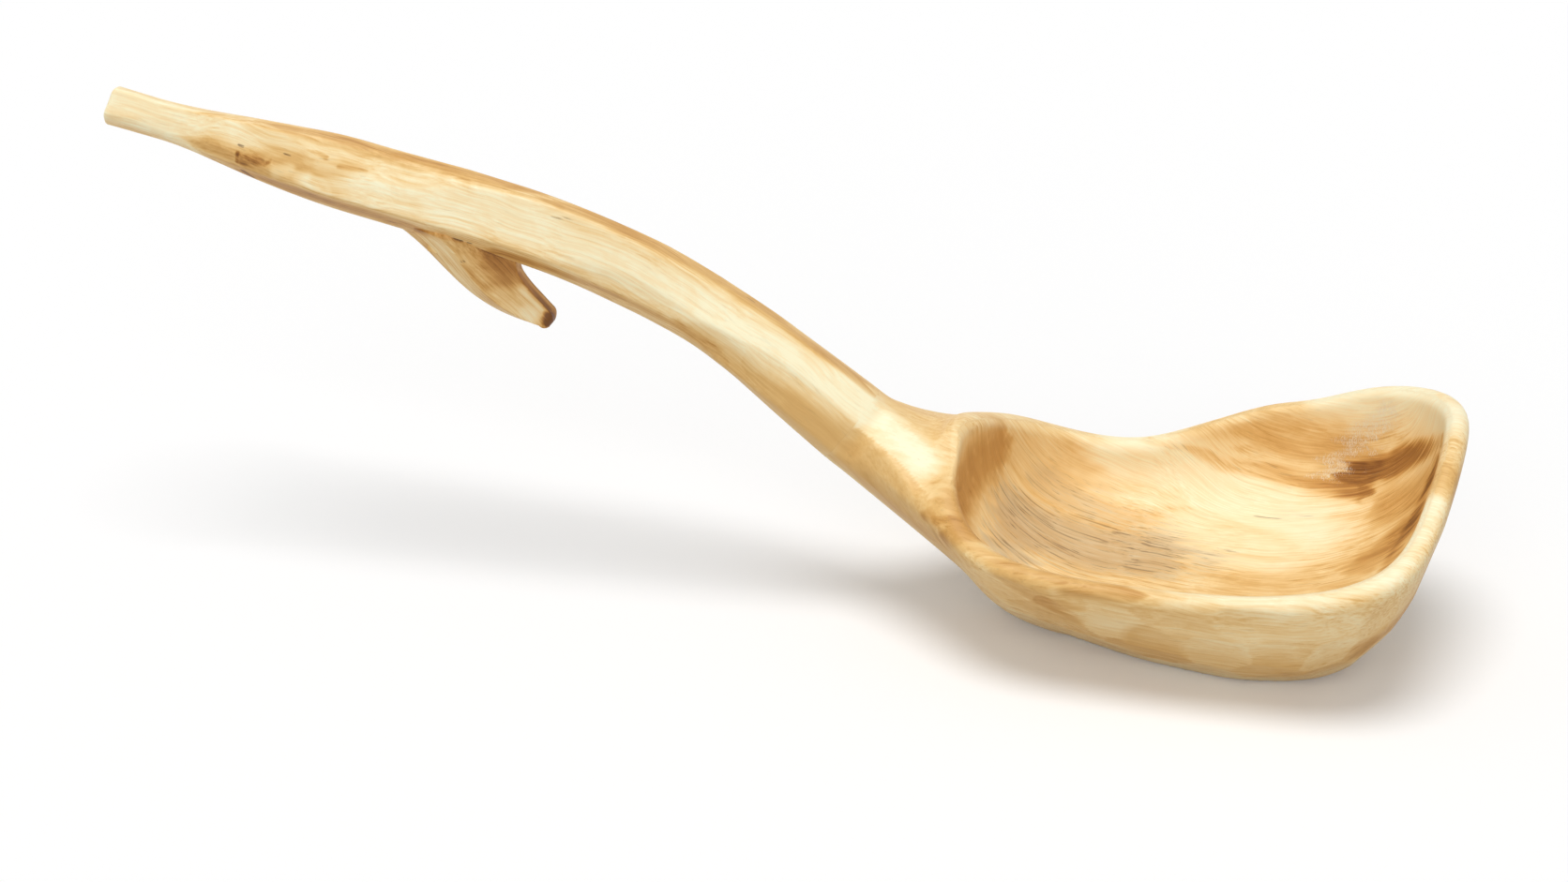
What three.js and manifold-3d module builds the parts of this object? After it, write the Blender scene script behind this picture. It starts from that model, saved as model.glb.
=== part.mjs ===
// A carved wooden ladle: a deep bowl with a raised pouring lip, a cranked handle, and a hook under the
// handle that hangs the ladle on the rim of a pot. Each blind tenon is locked by a wedge hidden in its end.
// Millimetres, +Z up. The origin is the centre of the flat foot under the bowl, +X points away from the
// handle, and +Y to the side of the pouring lip.
import * as THREE from "three";
import { mergeVertices } from "three/addons/utils/BufferGeometryUtils.js";
import Module from "manifold-3d";

// Bowl
const bowlLength = 131; // outside, at the rim
const bowlWidth = 92.4; // outside, at the rim
const rimHeight = 35.2; // above the table, at the bowl's ends
const sideDip = 2.6; // how far the rim sinks between its ends
const rimSquareness = 4; // exponent of the rim's outline: 2 is an ellipse, more is squarer
const neckRoundness = 1.1; // taken off that exponent behind the bowl
const neckRounding = 65; // degrees that the rounder outline takes to fade, each side
const rimWall = 6; // thickness of the rim
const floorThickness = 13;
const footLength = 97; // the flat that the ladle stands on
const footWidth = 43;
const footTaper = 0.6; // share of its width that the foot gains at the front and loses at the neck
const wallFullness = 1.42; // exponent of the outside's profile: 2 is an ellipse, less is leaner, more is fuller
const neckLeanness = 0.25; // taken off that exponent behind the bowl, where the wall sweeps up to the neck
const neckSweep = 79; // degrees that the leaner wall takes to fade, each side
const hollowFullness = 2.5; // exponent of the hollow's profile
const hollowSetback = 9; // of the hollow's deepest point, towards the neck
const lipAngle = 18.7; // degrees round from +X towards +Y
const lipNearSpread = 41; // degrees that the lip takes to fall away, on the side of -Y
const lipFarSpread = 63.5; // degrees, on the side of +Y
const lipRise = 27.5; // above the rest of the rim
const lipReach = 8; // beyond the rest of the rim
const neckRise = 19; // of the rim, where the handle joins
const neckRiseNearSpread = 25.5; // degrees that this rise takes to fall away, on the side of -Y
const neckRiseFarSpread = 29.5; // degrees, on the side of +Y

// Neck, which swells from the handle's section to the bowl's wall
const neckStandoff = 25.5; // from the bowl's end to the middle of the joint with the handle
const neckHeight = 50; // of the middle of the joint, above the table
const neckHalfAngle = 34; // degrees of the bowl's wall that the neck covers, each side
const neckWallTop = 108; // degrees up the wall's profile, where 90 is the rim's outer edge and more is over it
const neckWallSide = 93;
const neckWallBottom = 14;
const neckPull = 27; // how strongly the neck keeps to the line of the handle before it flares
const wallPull = 12; // how strongly it keeps to the bowl's wall where it meets it

// Handle, a straight rise, a bend and a straight grip
const risePitch = 36.4; // degrees above the table
const riseLength = 30;
const bendRadius = 185;
const gripPitch = 10.8; // degrees
const gripLength = 118;
const neckThickness = 22.4;
const gripThickness = 19.2;
const tipThickness = 11;
const neckTaperLength = 50;
const tipTaperLength = 65;
const tipLength = 6; // of the whittled end, past its taper
const tipRound = 2.5;
const arrisSharpness = 14; // exponent that rounds the ridges between the handle's facets

// Hook
const hookSetback = 13; // from the end of the bend to the middle of the hook's root
const hookRootLength = 39.5; // along the handle
const hookDrop = 19; // below the handle
const hookReach = 11.5; // of the tip, beyond the root
const hookTipDepth = 6;
const hookRootWidth = 13; // across the handle
const hookTipWidth = 8;
const hookFlare = 18; // of the back edge, along the handle
const hookUndercut = 3.5; // of the throat, behind the front of the root

// Joinery
const neckTenonLength = 22;
const neckTenonWidth = 11;
const neckTenonHeight = 12;
const hookTenonLength = 12; // along the handle
const hookTenonWidth = 6.5;
const hookTenonDepth = 11;
const tenonSpread = 1.2; // that the driven wedge adds to the tenon's end
const wedgeTip = 0.8;
const wedgeHead = 2.4;
const wedgeShare = 0.6; // of the tenon's length that the wedge reaches into
const fitGap = 0.3; // between two pieces that seat on each other

// Fineness of the facets
const bowlSides = 64;
const wallSteps = 8;
const rimSteps = 4;
const neckSteps = 7;
const sectionSides = 28;
const handleStep = 7;
const hookSteps = 12;

const wasm = await Module();
wasm.setup();

const radians = THREE.MathUtils.degToRad;
const lerp = THREE.MathUtils.lerp;
const smoothstep = THREE.MathUtils.smoothstep;
const steps = (count, from, to) => Array.from({ length: count + 1 }, (_, i) => lerp(from, to, i / count));
const turns = (count) => Array.from({ length: count }, (_, i) => (2 * Math.PI * i) / count);
const across = new THREE.Vector3(0, 1, 0);

// A closed solid from rings of points, with a fan to each end's middle.
function loft(rings) {
  const sides = rings[0].length;
  const points = rings.flat();
  const triangles = [];
  for (let ring = 0; ring + 1 < rings.length; ring++) {
    for (let side = 0; side < sides; side++) {
      const next = (side + 1) % sides;
      const [a, b] = [ring * sides + side, ring * sides + next];
      triangles.push(a, b, b + sides, a, b + sides, a + sides);
    }
  }
  for (const [ring, turned] of [[0, true], [rings.length - 1, false]]) {
    const middle = rings[ring].reduce((sum, p) => sum.add(p), new THREE.Vector3()).divideScalar(sides);
    const hub = points.push(middle) - 1;
    for (let side = 0; side < sides; side++) {
      const [a, b] = [ring * sides + side, ring * sides + ((side + 1) % sides)];
      triangles.push(...(turned ? [b, a, hub] : [a, b, hub]));
    }
  }
  return new THREE.BufferGeometry().setFromPoints(points).setIndex(triangles);
}

// A geometry as a solid for joining and cutting.
function solidOf(geometry) {
  const bare = geometry.clone();
  bare.deleteAttribute("normal");
  bare.deleteAttribute("uv");
  const merged = mergeVertices(bare, 1e-4);
  const vertProperties = merged.attributes.position.array;
  const triVerts = new Uint32Array(merged.index.array);
  return new wasm.Manifold(new wasm.Mesh({ numProp: 3, vertProperties, triVerts }));
}

function geometryOf(solid) {
  const mesh = solid.getMesh();
  const geometry = new THREE.BufferGeometry();
  geometry.setAttribute("position", new THREE.BufferAttribute(mesh.vertProperties, 3));
  geometry.setIndex(new THREE.BufferAttribute(mesh.triVerts, 1));
  geometry.computeVertexNormals();
  return geometry;
}

// How near an angle is to the middle of a swelling: 1 there, falling to 0 on each side. The other
// arguments are in degrees.
function swelling(angle, middle, before, after) {
  const off = THREE.MathUtils.euclideanModulo(THREE.MathUtils.radToDeg(angle) - middle + 180, 360) - 180;
  return Math.exp(-((off / (off < 0 ? before : after)) ** 2));
}

const lipAt = (angle) => swelling(angle, lipAngle, lipNearSpread, lipFarSpread);

function squaredOval(length, width, angle) {
  const [c, s] = [Math.abs(Math.cos(angle)) / (length / 2), Math.abs(Math.sin(angle)) / (width / 2)];
  const power = rimSquareness - neckRoundness * swelling(angle, 180, neckRounding, neckRounding);
  return (c ** power + s ** power) ** (-1 / power);
}

function rimTop(angle) {
  const neck = neckRise * swelling(angle, 180, neckRiseFarSpread, neckRiseNearSpread);
  return rimHeight - sideDip * Math.sin(angle) ** 2 + lipRise * lipAt(angle) + neck;
}

// The rim's outline, drawn in by inset, at a height.
function rimPoint(angle, inset, height) {
  const radius = squaredOval(bowlLength - 2 * inset, bowlWidth - 2 * inset, angle) + lipReach * lipAt(angle);
  return new THREE.Vector3(radius * Math.cos(angle), radius * Math.sin(angle), height);
}

// The outside of the bowl: a quarter oval from the edge of the foot, at climb 0, to the rim.
function outerWall(angle, climb) {
  const footHalf = (footWidth / 2) * (1 + footTaper * Math.cos(angle));
  const foot = new THREE.Vector3((footLength / 2) * Math.cos(angle), footHalf * Math.sin(angle), 0);
  const power = 2 / (wallFullness - neckLeanness * swelling(angle, 180, neckSweep, neckSweep));
  const wall = foot.lerp(rimPoint(angle, 0, 0), Math.sin(climb) ** power);
  return wall.setZ((1 - Math.max(0, Math.cos(climb)) ** power) * (rimTop(angle) - rimWall / 2));
}

// The hollow: a fuller quarter oval from the deepest point of the floor, at climb 0, to the rim.
function innerWall(angle, climb) {
  const power = 2 / hollowFullness;
  const deepest = new THREE.Vector3(-hollowSetback, 0, 0);
  const wall = deepest.lerp(rimPoint(angle, rimWall, 0), Math.sin(climb) ** power);
  const share = 1 - Math.max(0, Math.cos(climb)) ** power;
  return wall.setZ(lerp(floorThickness, rimTop(angle) - rimWall / 2, share));
}

function rimRound(angle, turn) {
  const half = rimWall / 2;
  return rimPoint(angle, half - half * Math.cos(turn), rimTop(angle) - half + half * Math.sin(turn));
}

// The handle's spine at a distance from the joint: a point, the way towards the tip, and the way up.
const bendAngle = radians(risePitch - gripPitch);
const bendLength = bendRadius * bendAngle;
const handleLength = riseLength + bendLength + gripLength;
const joint = new THREE.Vector3(-bowlLength / 2 - neckStandoff, 0, neckHeight);

function spine(distance) {
  const rise = Math.min(distance, riseLength);
  const bent = THREE.MathUtils.clamp(distance - riseLength, 0, bendLength);
  const grip = Math.max(0, distance - riseLength - bendLength);
  const pitch = radians(risePitch) - bent / bendRadius;
  const along = (angle) => new THREE.Vector3(-Math.cos(angle), 0, Math.sin(angle));
  const up = (angle) => new THREE.Vector3(Math.sin(angle), 0, Math.cos(angle));
  const point = joint.clone().addScaledVector(along(radians(risePitch)), rise);
  point.addScaledVector(up(pitch), bendRadius).addScaledVector(up(radians(risePitch)), -bendRadius);
  point.addScaledVector(along(radians(gripPitch)), grip);
  return { point, along: along(pitch), up: up(pitch) };
}

// The facets of the handle's section: the angle that each faces, from +Y round to up, and how far it is
// from the middle as a share of half the thickness.
const facets = [
  { faces: 18, share: 0.77 },
  { faces: 90, share: 1 },
  { faces: 161, share: 0.77 },
  { faces: 213, share: 0.83 },
  { faces: 268, share: 1.02 },
  { faces: 326, share: 0.83 },
];

function sectionRadius(angle, thickness) {
  let sum = 0;
  for (const { faces, share } of facets) {
    const facing = Math.max(0, Math.cos(angle - radians(faces)));
    sum += (facing / ((share * thickness) / 2)) ** arrisSharpness;
  }
  return sum ** (-1 / arrisSharpness);
}

function handleThickness(distance) {
  const neck = 1 - smoothstep(distance, 0, neckTaperLength);
  const tip = smoothstep(distance, handleLength - tipLength - tipTaperLength, handleLength - tipLength);
  return gripThickness + (neckThickness - gripThickness) * neck - (gripThickness - tipThickness) * tip;
}

function handleRing(distance, thickness) {
  const { point, up } = spine(distance);
  return turns(sectionSides).map((angle) => {
    const radius = sectionRadius(angle, thickness);
    const out = point.clone().addScaledVector(across, radius * Math.cos(angle));
    return out.addScaledVector(up, radius * Math.sin(angle));
  });
}

// The handle from its shoulder, a gap off the neck, to its rounded tip. It can be grown all round.
function handleBody(grown) {
  const count = Math.ceil((handleLength - tipRound) / handleStep);
  const rings = steps(count, fitGap, handleLength - tipRound).map((distance) =>
    handleRing(distance, handleThickness(distance) + 2 * grown),
  );
  for (const turn of [Math.PI / 4, Math.PI / 2]) {
    const shrink = 2 * tipRound * (1 - Math.cos(turn));
    const distance = handleLength - tipRound * (1 - Math.sin(turn)) + grown;
    rings.push(handleRing(distance, tipThickness + 2 * grown - shrink));
  }
  return solidOf(loft(rings.reverse()));
}

// A tenon that its wedge has spread, or the mortise around it. x runs the way it spreads and y to its end.
function tenonBlock(size, depth, width, sunk, grown) {
  const half = size / 2 + grown;
  const outline = new THREE.Shape([
    new THREE.Vector2(-half, -sunk),
    new THREE.Vector2(half, -sunk),
    new THREE.Vector2(half, 0),
    new THREE.Vector2(half + tenonSpread / 2, depth + grown),
    new THREE.Vector2(-half - tenonSpread / 2, depth + grown),
    new THREE.Vector2(-half, 0),
  ]);
  const options = { depth: width + 2 * grown, bevelEnabled: false };
  return new THREE.ExtrudeGeometry(outline, options).translate(0, 0, -width / 2 - grown);
}

// The wedge in the end of a tenon, or the cut that it fills.
function wedgeBlock(depth, width, grown) {
  const tip = depth * (1 - wedgeShare);
  const past = 2 * grown;
  const outline = new THREE.Shape([
    new THREE.Vector2(-wedgeTip / 2 - grown, tip - grown),
    new THREE.Vector2(wedgeTip / 2 + grown, tip - grown),
    new THREE.Vector2(wedgeHead / 2 + grown, depth + past),
    new THREE.Vector2(-wedgeHead / 2 - grown, depth + past),
  ]);
  const options = { depth: width + past, bevelEnabled: false };
  return new THREE.ExtrudeGeometry(outline, options).translate(0, 0, -width / 2 - grown);
}

// Places a tenon's geometry: its root at a point, spreading one way and reaching another.
function placed(geometry, root, spreadWay, reachWay) {
  const sideWay = new THREE.Vector3().crossVectors(spreadWay, reachWay);
  const frame = new THREE.Matrix4().makeBasis(spreadWay, reachWay, sideWay).setPosition(root);
  return geometry.clone().applyMatrix4(frame);
}

const shoulder = spine(0);
const intoBowl = shoulder.along.clone().negate();
const atNeck = (geometry) => placed(geometry, shoulder.point, shoulder.up, intoBowl);

const hookDistance = riseLength + bendLength + hookSetback;
const hookSeat = spine(hookDistance);
const towardsBowl = hookSeat.along.clone().negate();
const underside = handleThickness(hookDistance) / 2;
const hookRoot = hookSeat.point.clone().addScaledVector(hookSeat.up, -underside);
const atHook = (geometry) => placed(geometry, hookRoot, towardsBowl, hookSeat.up);

// The neck: a surface that leaves the joint along the spine and meets the bowl's wall along the wall.
function neckSolid() {
  const right = Math.PI / 2;
  const wallPlace = (angle, share) => {
    const end = Math.sin(angle) > 0 ? neckWallTop : neckWallBottom;
    const climb = lerp(neckWallSide, end, share * Math.abs(Math.sin(angle)));
    return [Math.PI - share * radians(neckHalfAngle) * Math.cos(angle), radians(climb)];
  };
  const skin = (turn, climb) => (climb < right ? outerWall(turn, climb) : rimRound(turn, climb - right));
  const midWall = (turn, climb) => skin(turn, climb).lerp(innerWall(turn, Math.min(climb, right)), 0.5);
  const nearlyThere = 0.98;
  const start = handleRing(0, neckThickness);
  const ringAngles = turns(sectionSides);
  const rings = steps(neckSteps, 0, 1).map((share) =>
    ringAngles.map((angle, side) => {
      const wall = skin(...wallPlace(angle, 1));
      const leaving = skin(...wallPlace(angle, nearlyThere)).sub(wall).negate().normalize();
      const [s2, s3] = [share ** 2, share ** 3];
      return new THREE.Vector3()
        .addScaledVector(start[side], 2 * s3 - 3 * s2 + 1)
        .addScaledVector(intoBowl, (s3 - 2 * s2 + share) * neckPull)
        .addScaledVector(wall, 3 * s2 - 2 * s3)
        .addScaledVector(leaving, (s3 - s2) * wallPull);
    }),
  );
  for (const share of [1, 0.7, 0.4, 0.1]) {
    rings.push(ringAngles.map((angle) => midWall(...wallPlace(angle, share))));
  }
  return solidOf(loft(rings));
}

function bowlSolid() {
  const angles = turns(bowlSides);
  const right = Math.PI / 2;
  const rings = [
    ...steps(wallSteps, 0, right).map((climb) => angles.map((angle) => outerWall(angle, climb))),
    ...steps(rimSteps, 0, Math.PI).slice(1).map((turn) => angles.map((angle) => rimRound(angle, turn))),
    ...steps(wallSteps, right, 0).slice(1, -1).map((climb) => angles.map((angle) => innerWall(angle, climb))),
  ];
  const mortise = tenonBlock(neckTenonHeight, neckTenonLength, neckTenonWidth, fitGap, fitGap);
  return solidOf(loft(rings)).add(neckSolid()).subtract(solidOf(atNeck(mortise)));
}

function handleSolid() {
  const bite = neckThickness / 4; // that the tenon's root runs into the handle
  const tenon = tenonBlock(neckTenonHeight, neckTenonLength, neckTenonWidth, bite, 0);
  const kerf = wedgeBlock(neckTenonLength, neckTenonWidth, fitGap);
  const mortise = tenonBlock(hookTenonLength, hookTenonDepth, hookTenonWidth, underside, fitGap);
  return handleBody(0)
    .add(solidOf(atNeck(tenon)))
    .subtract(solidOf(atNeck(kerf)))
    .subtract(solidOf(atHook(mortise)));
}

// The hook between its back edge and its throat, as rings from the root to the tip.
function hookSolid() {
  const front = hookRootLength / 2;
  const tip = front + hookReach;
  const point = (x, drop) => new THREE.Vector2(x, -drop);
  const back = new THREE.CubicBezierCurve(
    point(-front, 0),
    point(-front + hookFlare, hookDrop * 0.1),
    point(0, hookDrop * 1.05),
    point(tip - hookTipDepth / 2, hookDrop),
  );
  const throat = new THREE.CubicBezierCurve(
    point(front, 0),
    point(front - hookUndercut, hookDrop * 0.2),
    point(front + hookReach / 3, hookDrop * 0.36),
    point(tip, hookDrop - hookTipDepth),
  );
  const place = (flat, side) => {
    const out = hookRoot.clone().addScaledVector(towardsBowl, flat.x).addScaledVector(hookSeat.up, flat.y);
    return out.addScaledVector(across, side);
  };
  const ringAt = (share, size, shift) => {
    const [a, b] = [back.getPoint(share), throat.getPoint(share)];
    const middle = a.clone().lerp(b, 0.5).add(shift);
    const half = b.sub(a).multiplyScalar(size / 2);
    const width = (size * lerp(hookRootWidth, hookTipWidth, share)) / 2;
    return turns(sectionSides).map((turn) =>
      place(middle.clone().addScaledVector(half, Math.cos(turn)), -width * Math.sin(turn)),
    );
  };
  const sunkRoot = ringAt(0, 1, new THREE.Vector2(0, underside / 2));
  const body = steps(hookSteps, 0, 1).map((share) => ringAt(share, 1, new THREE.Vector2()));
  const tipWay = throat.getTangent(1);
  const nose = [0.4, 0.8, 1].map((share) =>
    ringAt(1, Math.sqrt(1 - (0.9 * share) ** 2), tipWay.clone().multiplyScalar((share * hookTipDepth) / 2.5)),
  );
  const bite = hookDrop / 4; // that the tenon's root runs into the hook
  const tenon = tenonBlock(hookTenonLength, hookTenonDepth, hookTenonWidth, bite, 0);
  const kerf = wedgeBlock(hookTenonDepth, hookTenonWidth, fitGap);
  return solidOf(loft([sunkRoot, ...body, ...nose]))
    .subtract(handleBody(fitGap))
    .add(solidOf(atHook(tenon)))
    .subtract(solidOf(atHook(kerf)));
}

// Finishes: pale oiled wood, a little darker on the hook, and split wood for the wedges
const wood = (color, roughness) => new THREE.MeshStandardMaterial({ color, roughness, metalness: 0 });
const bowlWood = wood(0xe6cb93, 0.5);
const handleWood = wood(0xe3c48a, 0.5);
const hookWood = wood(0xd6b272, 0.55);
const wedgeWood = wood(0xc79a5c, 0.7);

const ladle = new THREE.Group();

function addPiece(name, geometry, material) {
  const mesh = new THREE.Mesh(geometry, material);
  mesh.name = name;
  ladle.add(mesh);
}

addPiece("bowl", geometryOf(bowlSolid()), bowlWood);
addPiece("handle", geometryOf(handleSolid()), handleWood);
addPiece("pot_hook", geometryOf(hookSolid()), hookWood);
addPiece("neck_wedge", atNeck(wedgeBlock(neckTenonLength, neckTenonWidth, 0)), wedgeWood);
addPiece("hook_wedge", atHook(wedgeBlock(hookTenonDepth, hookTenonWidth, 0)), wedgeWood);

export default ladle;
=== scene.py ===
from math import pi, radians

import bpy
import numpy as np
from mathutils.kdtree import KDTree
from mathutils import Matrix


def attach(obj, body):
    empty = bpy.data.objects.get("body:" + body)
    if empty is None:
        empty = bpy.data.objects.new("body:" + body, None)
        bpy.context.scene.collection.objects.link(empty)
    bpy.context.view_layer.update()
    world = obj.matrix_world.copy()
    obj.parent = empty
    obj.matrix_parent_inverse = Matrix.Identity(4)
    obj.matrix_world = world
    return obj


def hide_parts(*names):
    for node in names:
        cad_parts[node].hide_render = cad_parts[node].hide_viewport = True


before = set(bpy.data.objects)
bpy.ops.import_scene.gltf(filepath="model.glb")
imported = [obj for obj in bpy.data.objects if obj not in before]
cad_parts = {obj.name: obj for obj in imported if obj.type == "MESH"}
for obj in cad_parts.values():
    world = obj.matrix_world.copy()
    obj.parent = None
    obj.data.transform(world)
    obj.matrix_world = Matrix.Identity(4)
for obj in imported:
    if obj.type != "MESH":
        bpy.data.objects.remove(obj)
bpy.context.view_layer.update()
print("frame loaded:", sorted(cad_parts))

mm = 0.001  # shapes are worked out in millimetres and go into the meshes in metres
scene = bpy.context.scene
scene.view_settings.view_transform = "Standard"


# camera, at the photograph's place

view = {"place": (87.68, -738.48, 399.13), "turn": (65, 0, 15), "lens": 70, "sensor": 36}

cameraData = bpy.data.cameras.new("photo_camera")
cameraData.lens = view["lens"]
cameraData.sensor_width = view["sensor"]
camera = bpy.data.objects.new("photo_camera", cameraData)
camera.location = [side * mm for side in view["place"]]
camera.rotation_euler = [radians(angle) for angle in view["turn"]]
scene.collection.objects.link(camera)
scene.camera = camera
print("camera placed")


# small tools for whole-array shapes

def smoothStep(value, low, high):
    # 0 below low, 1 above high, an S curve between
    share = np.clip((value - low) / (high - low), 0, 1)
    return share * share * (3 - 2 * share)


def between(start, end, share):
    return start + (end - start) * share


def swelling(angle, middle, before, after):
    # a bump round a ring: 1 at its middle, a bell curve with its own width on each side, in degrees
    off = (np.degrees(angle) - middle + 180) % 360 - 180
    return np.exp(-((off / np.where(off < 0, before, after)) ** 2))


def unit(vectors):
    return vectors / np.linalg.norm(vectors, axis=-1, keepdims=True)


def tube(rings):
    # points and faces of a closed skin: quads between neighbouring rings, a fan to each end's middle
    count, sides = rings.shape[:2]
    points = np.concatenate([rings.reshape(-1, 3), rings[[0, -1]].mean(axis=1)])
    ring, side = np.meshgrid(np.arange(count - 1), np.arange(sides), indexing="ij")
    here = ring * sides + side
    there = ring * sides + (side + 1) % sides
    quads = np.stack([here, there, there + sides, here + sides], -1).reshape(-1, 4)
    around = np.arange(sides)
    last = (count - 1) * sides
    hub = np.full(sides, count * sides)
    startFan = np.stack([(around + 1) % sides, around, hub], -1)
    endFan = np.stack([last + around, last + (around + 1) % sides, hub + 1], -1)
    a, b, c = points[quads[:, 0]], points[quads[:, 1]], points[quads[:, 2]]
    d = points[quads[:, 3]]
    volume = np.sum(a * np.cross(b, c)) + np.sum(a * np.cross(c, d))
    faces = [quads, startFan, endFan]
    if volume < 0:
        faces = [group[:, ::-1] for group in faces]
    return points, [face for group in faces for face in group.tolist()]


def pieceFrom(name, points, faces):
    mesh = bpy.data.meshes.new(name)
    mesh.from_pydata((points * mm).tolist(), [], faces)
    mesh.update()
    piece = bpy.data.objects.new(name, mesh)
    scene.collection.objects.link(piece)
    return piece


def settle(piece):
    # the piece's modifiers become its mesh
    bpy.context.view_layer.update()
    solved = piece.evaluated_get(bpy.context.evaluated_depsgraph_get())
    mesh = bpy.data.meshes.new_from_object(solved)
    old = piece.data
    piece.modifiers.clear()
    piece.data = mesh
    mesh.name = piece.name
    bpy.data.meshes.remove(old)


def cutWith(piece, tool, operation):
    step = piece.modifiers.new(operation.lower(), "BOOLEAN")
    step.operation = operation
    step.solver = "MANIFOLD"
    step.object = tool
    settle(piece)
    bpy.data.objects.remove(tool)


def pointsOf(piece):
    flat = np.empty(len(piece.data.vertices) * 3)
    piece.data.vertices.foreach_get("co", flat)
    return flat.reshape(-1, 3) / mm


def movePoints(piece, points):
    piece.data.vertices.foreach_set("co", (points * mm).ravel())
    piece.data.update()


def normalsOf(mesh):
    flat = np.empty(len(mesh.vertices) * 3)
    mesh.vertices.foreach_get("normal", flat)
    return flat.reshape(-1, 3)


class Neighbours:
    # means over the points, or the edges, that meet at each point of a mesh
    def __init__(self, mesh):
        ends = np.empty(len(mesh.edges) * 2, np.int32)
        mesh.edges.foreach_get("vertices", ends)
        self.a, self.b = ends.reshape(-1, 2).T
        self.size = len(mesh.vertices)
        self.count = np.bincount(self.a, minlength=self.size) + np.bincount(self.b, minlength=self.size)

    def mean(self, value):
        total = np.bincount(self.a, value[self.b], self.size) + np.bincount(self.b, value[self.a], self.size)
        return total / self.count

    def edgeMean(self, value):
        return (np.bincount(self.a, value, self.size) + np.bincount(self.b, value, self.size)) / self.count


def faceted(angle, facets, arris):
    # a many-sided section: facet reaches over their cosines, joined by a high power mean that rounds the ridges
    total = 0
    for facing, reach, shade in facets:
        total = total + (np.maximum(0, np.cos(angle - facing)) / reach) ** arris
    return total ** (-1 / arris)


def facetShade(angle, facets):
    # the painted shade of the facet that each angle lies on
    best, value = np.zeros(angle.shape), np.zeros(angle.shape)
    for facing, reach, shade in facets:
        lean = np.cos(angle - facing) / reach
        value, best = np.where(lean > best, shade, value), np.maximum(lean, best)
    return value


# the run of the ladle: level under the bowl, up through the neck, over the bend and out along the grip

run = {
    "joint": (-91.0, 0.0, 50.0), "risePitch": 36.4, "riseLength": 30.0,
    "bendRadius": 185.0, "gripPitch": 10.8, "gripLength": 118.0, "hookOnGrip": 13.0,
    "neckLength": 10.0, "sweepRadius": 90.0,  # the fibres' own curve from the neck into the bowl
    # in the bowl the grain runs a little across
    "grainSlant": 0.13, "slantStart": -55.0, "slantFade": (20, 38),
}
steep, shallow = radians(run["risePitch"]), radians(run["gripPitch"])
bendLength = run["bendRadius"] * (steep - shallow)
handleLength = run["riseLength"] + bendLength + run["gripLength"]
joint = np.array(run["joint"])


def wayAlong(pitch):
    return np.stack([-np.cos(pitch), 0 * pitch, np.sin(pitch)], -1)


def wayUp(pitch):
    return np.stack([np.sin(pitch), 0 * pitch, np.cos(pitch)], -1)


steepAlong, steepUp = wayAlong(np.float64(steep)), wayUp(np.float64(steep))
shallowAlong = wayAlong(np.float64(shallow))


def spine(distance):
    # a straight rise, an arc of a circle, a straight grip: the point there and the way up from it
    rise = np.minimum(distance, run["riseLength"])[..., None]
    bent = np.clip(distance - run["riseLength"], 0, bendLength)
    grip = np.maximum(0, distance - run["riseLength"] - bendLength)[..., None]
    pitch = steep - bent / run["bendRadius"]
    point = joint + steepAlong * rise + shallowAlong * grip
    return point + run["bendRadius"] * (wayUp(pitch) - steepUp), wayUp(pitch)


def straightened(points):
    # where a point would lie if the ladle's run were unbent: along it, across it, and above it
    x, y, z = points.T
    rise, bend = run["riseLength"], run["bendRadius"]
    neck, sweep = run["neckLength"], run["sweepRadius"]
    along, above = (points - joint) @ steepAlong, (points - joint) @ steepUp
    bendMiddle = joint + steepAlong * rise - steepUp * bend
    bx, bz = x - bendMiddle[0], z - bendMiddle[2]
    bendPitch = np.arctan2(bx, bz)
    gripStart, gripUp = spine(np.float64(rise + bendLength))
    gripAlong = (points - gripStart) @ shallowAlong + rise + bendLength
    sweepMiddle = joint - steepAlong * neck + steepUp * sweep
    sx, sz = sweepMiddle[0] - x, sweepMiddle[2] - z
    sweepPitch = np.arctan2(sx, sz)
    levelAlong = -neck - sweep * steep - (x - sweepMiddle[0])
    onBend, onSweep = along > rise, along < -neck
    cases = [onBend & (bendPitch < shallow), onBend, onSweep & (sweepPitch < 0), onSweep]
    along = np.select(cases, [gripAlong, rise + bend * (steep - bendPitch), levelAlong,
                              -neck - sweep * (steep - sweepPitch)], along)
    above = np.select(cases, [(points - gripStart) @ gripUp, np.hypot(bx, bz) - bend,
                              z - (sweepMiddle[2] - sweep), sweep - np.hypot(sx, sz)], above)
    onFloor = 1 - smoothStep(np.abs(y), *run["slantFade"])
    askew = run["grainSlant"] * np.maximum(0, x - run["slantStart"]) * onFloor
    return np.stack([along, y + askew, above], -1)


# handle

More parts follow.
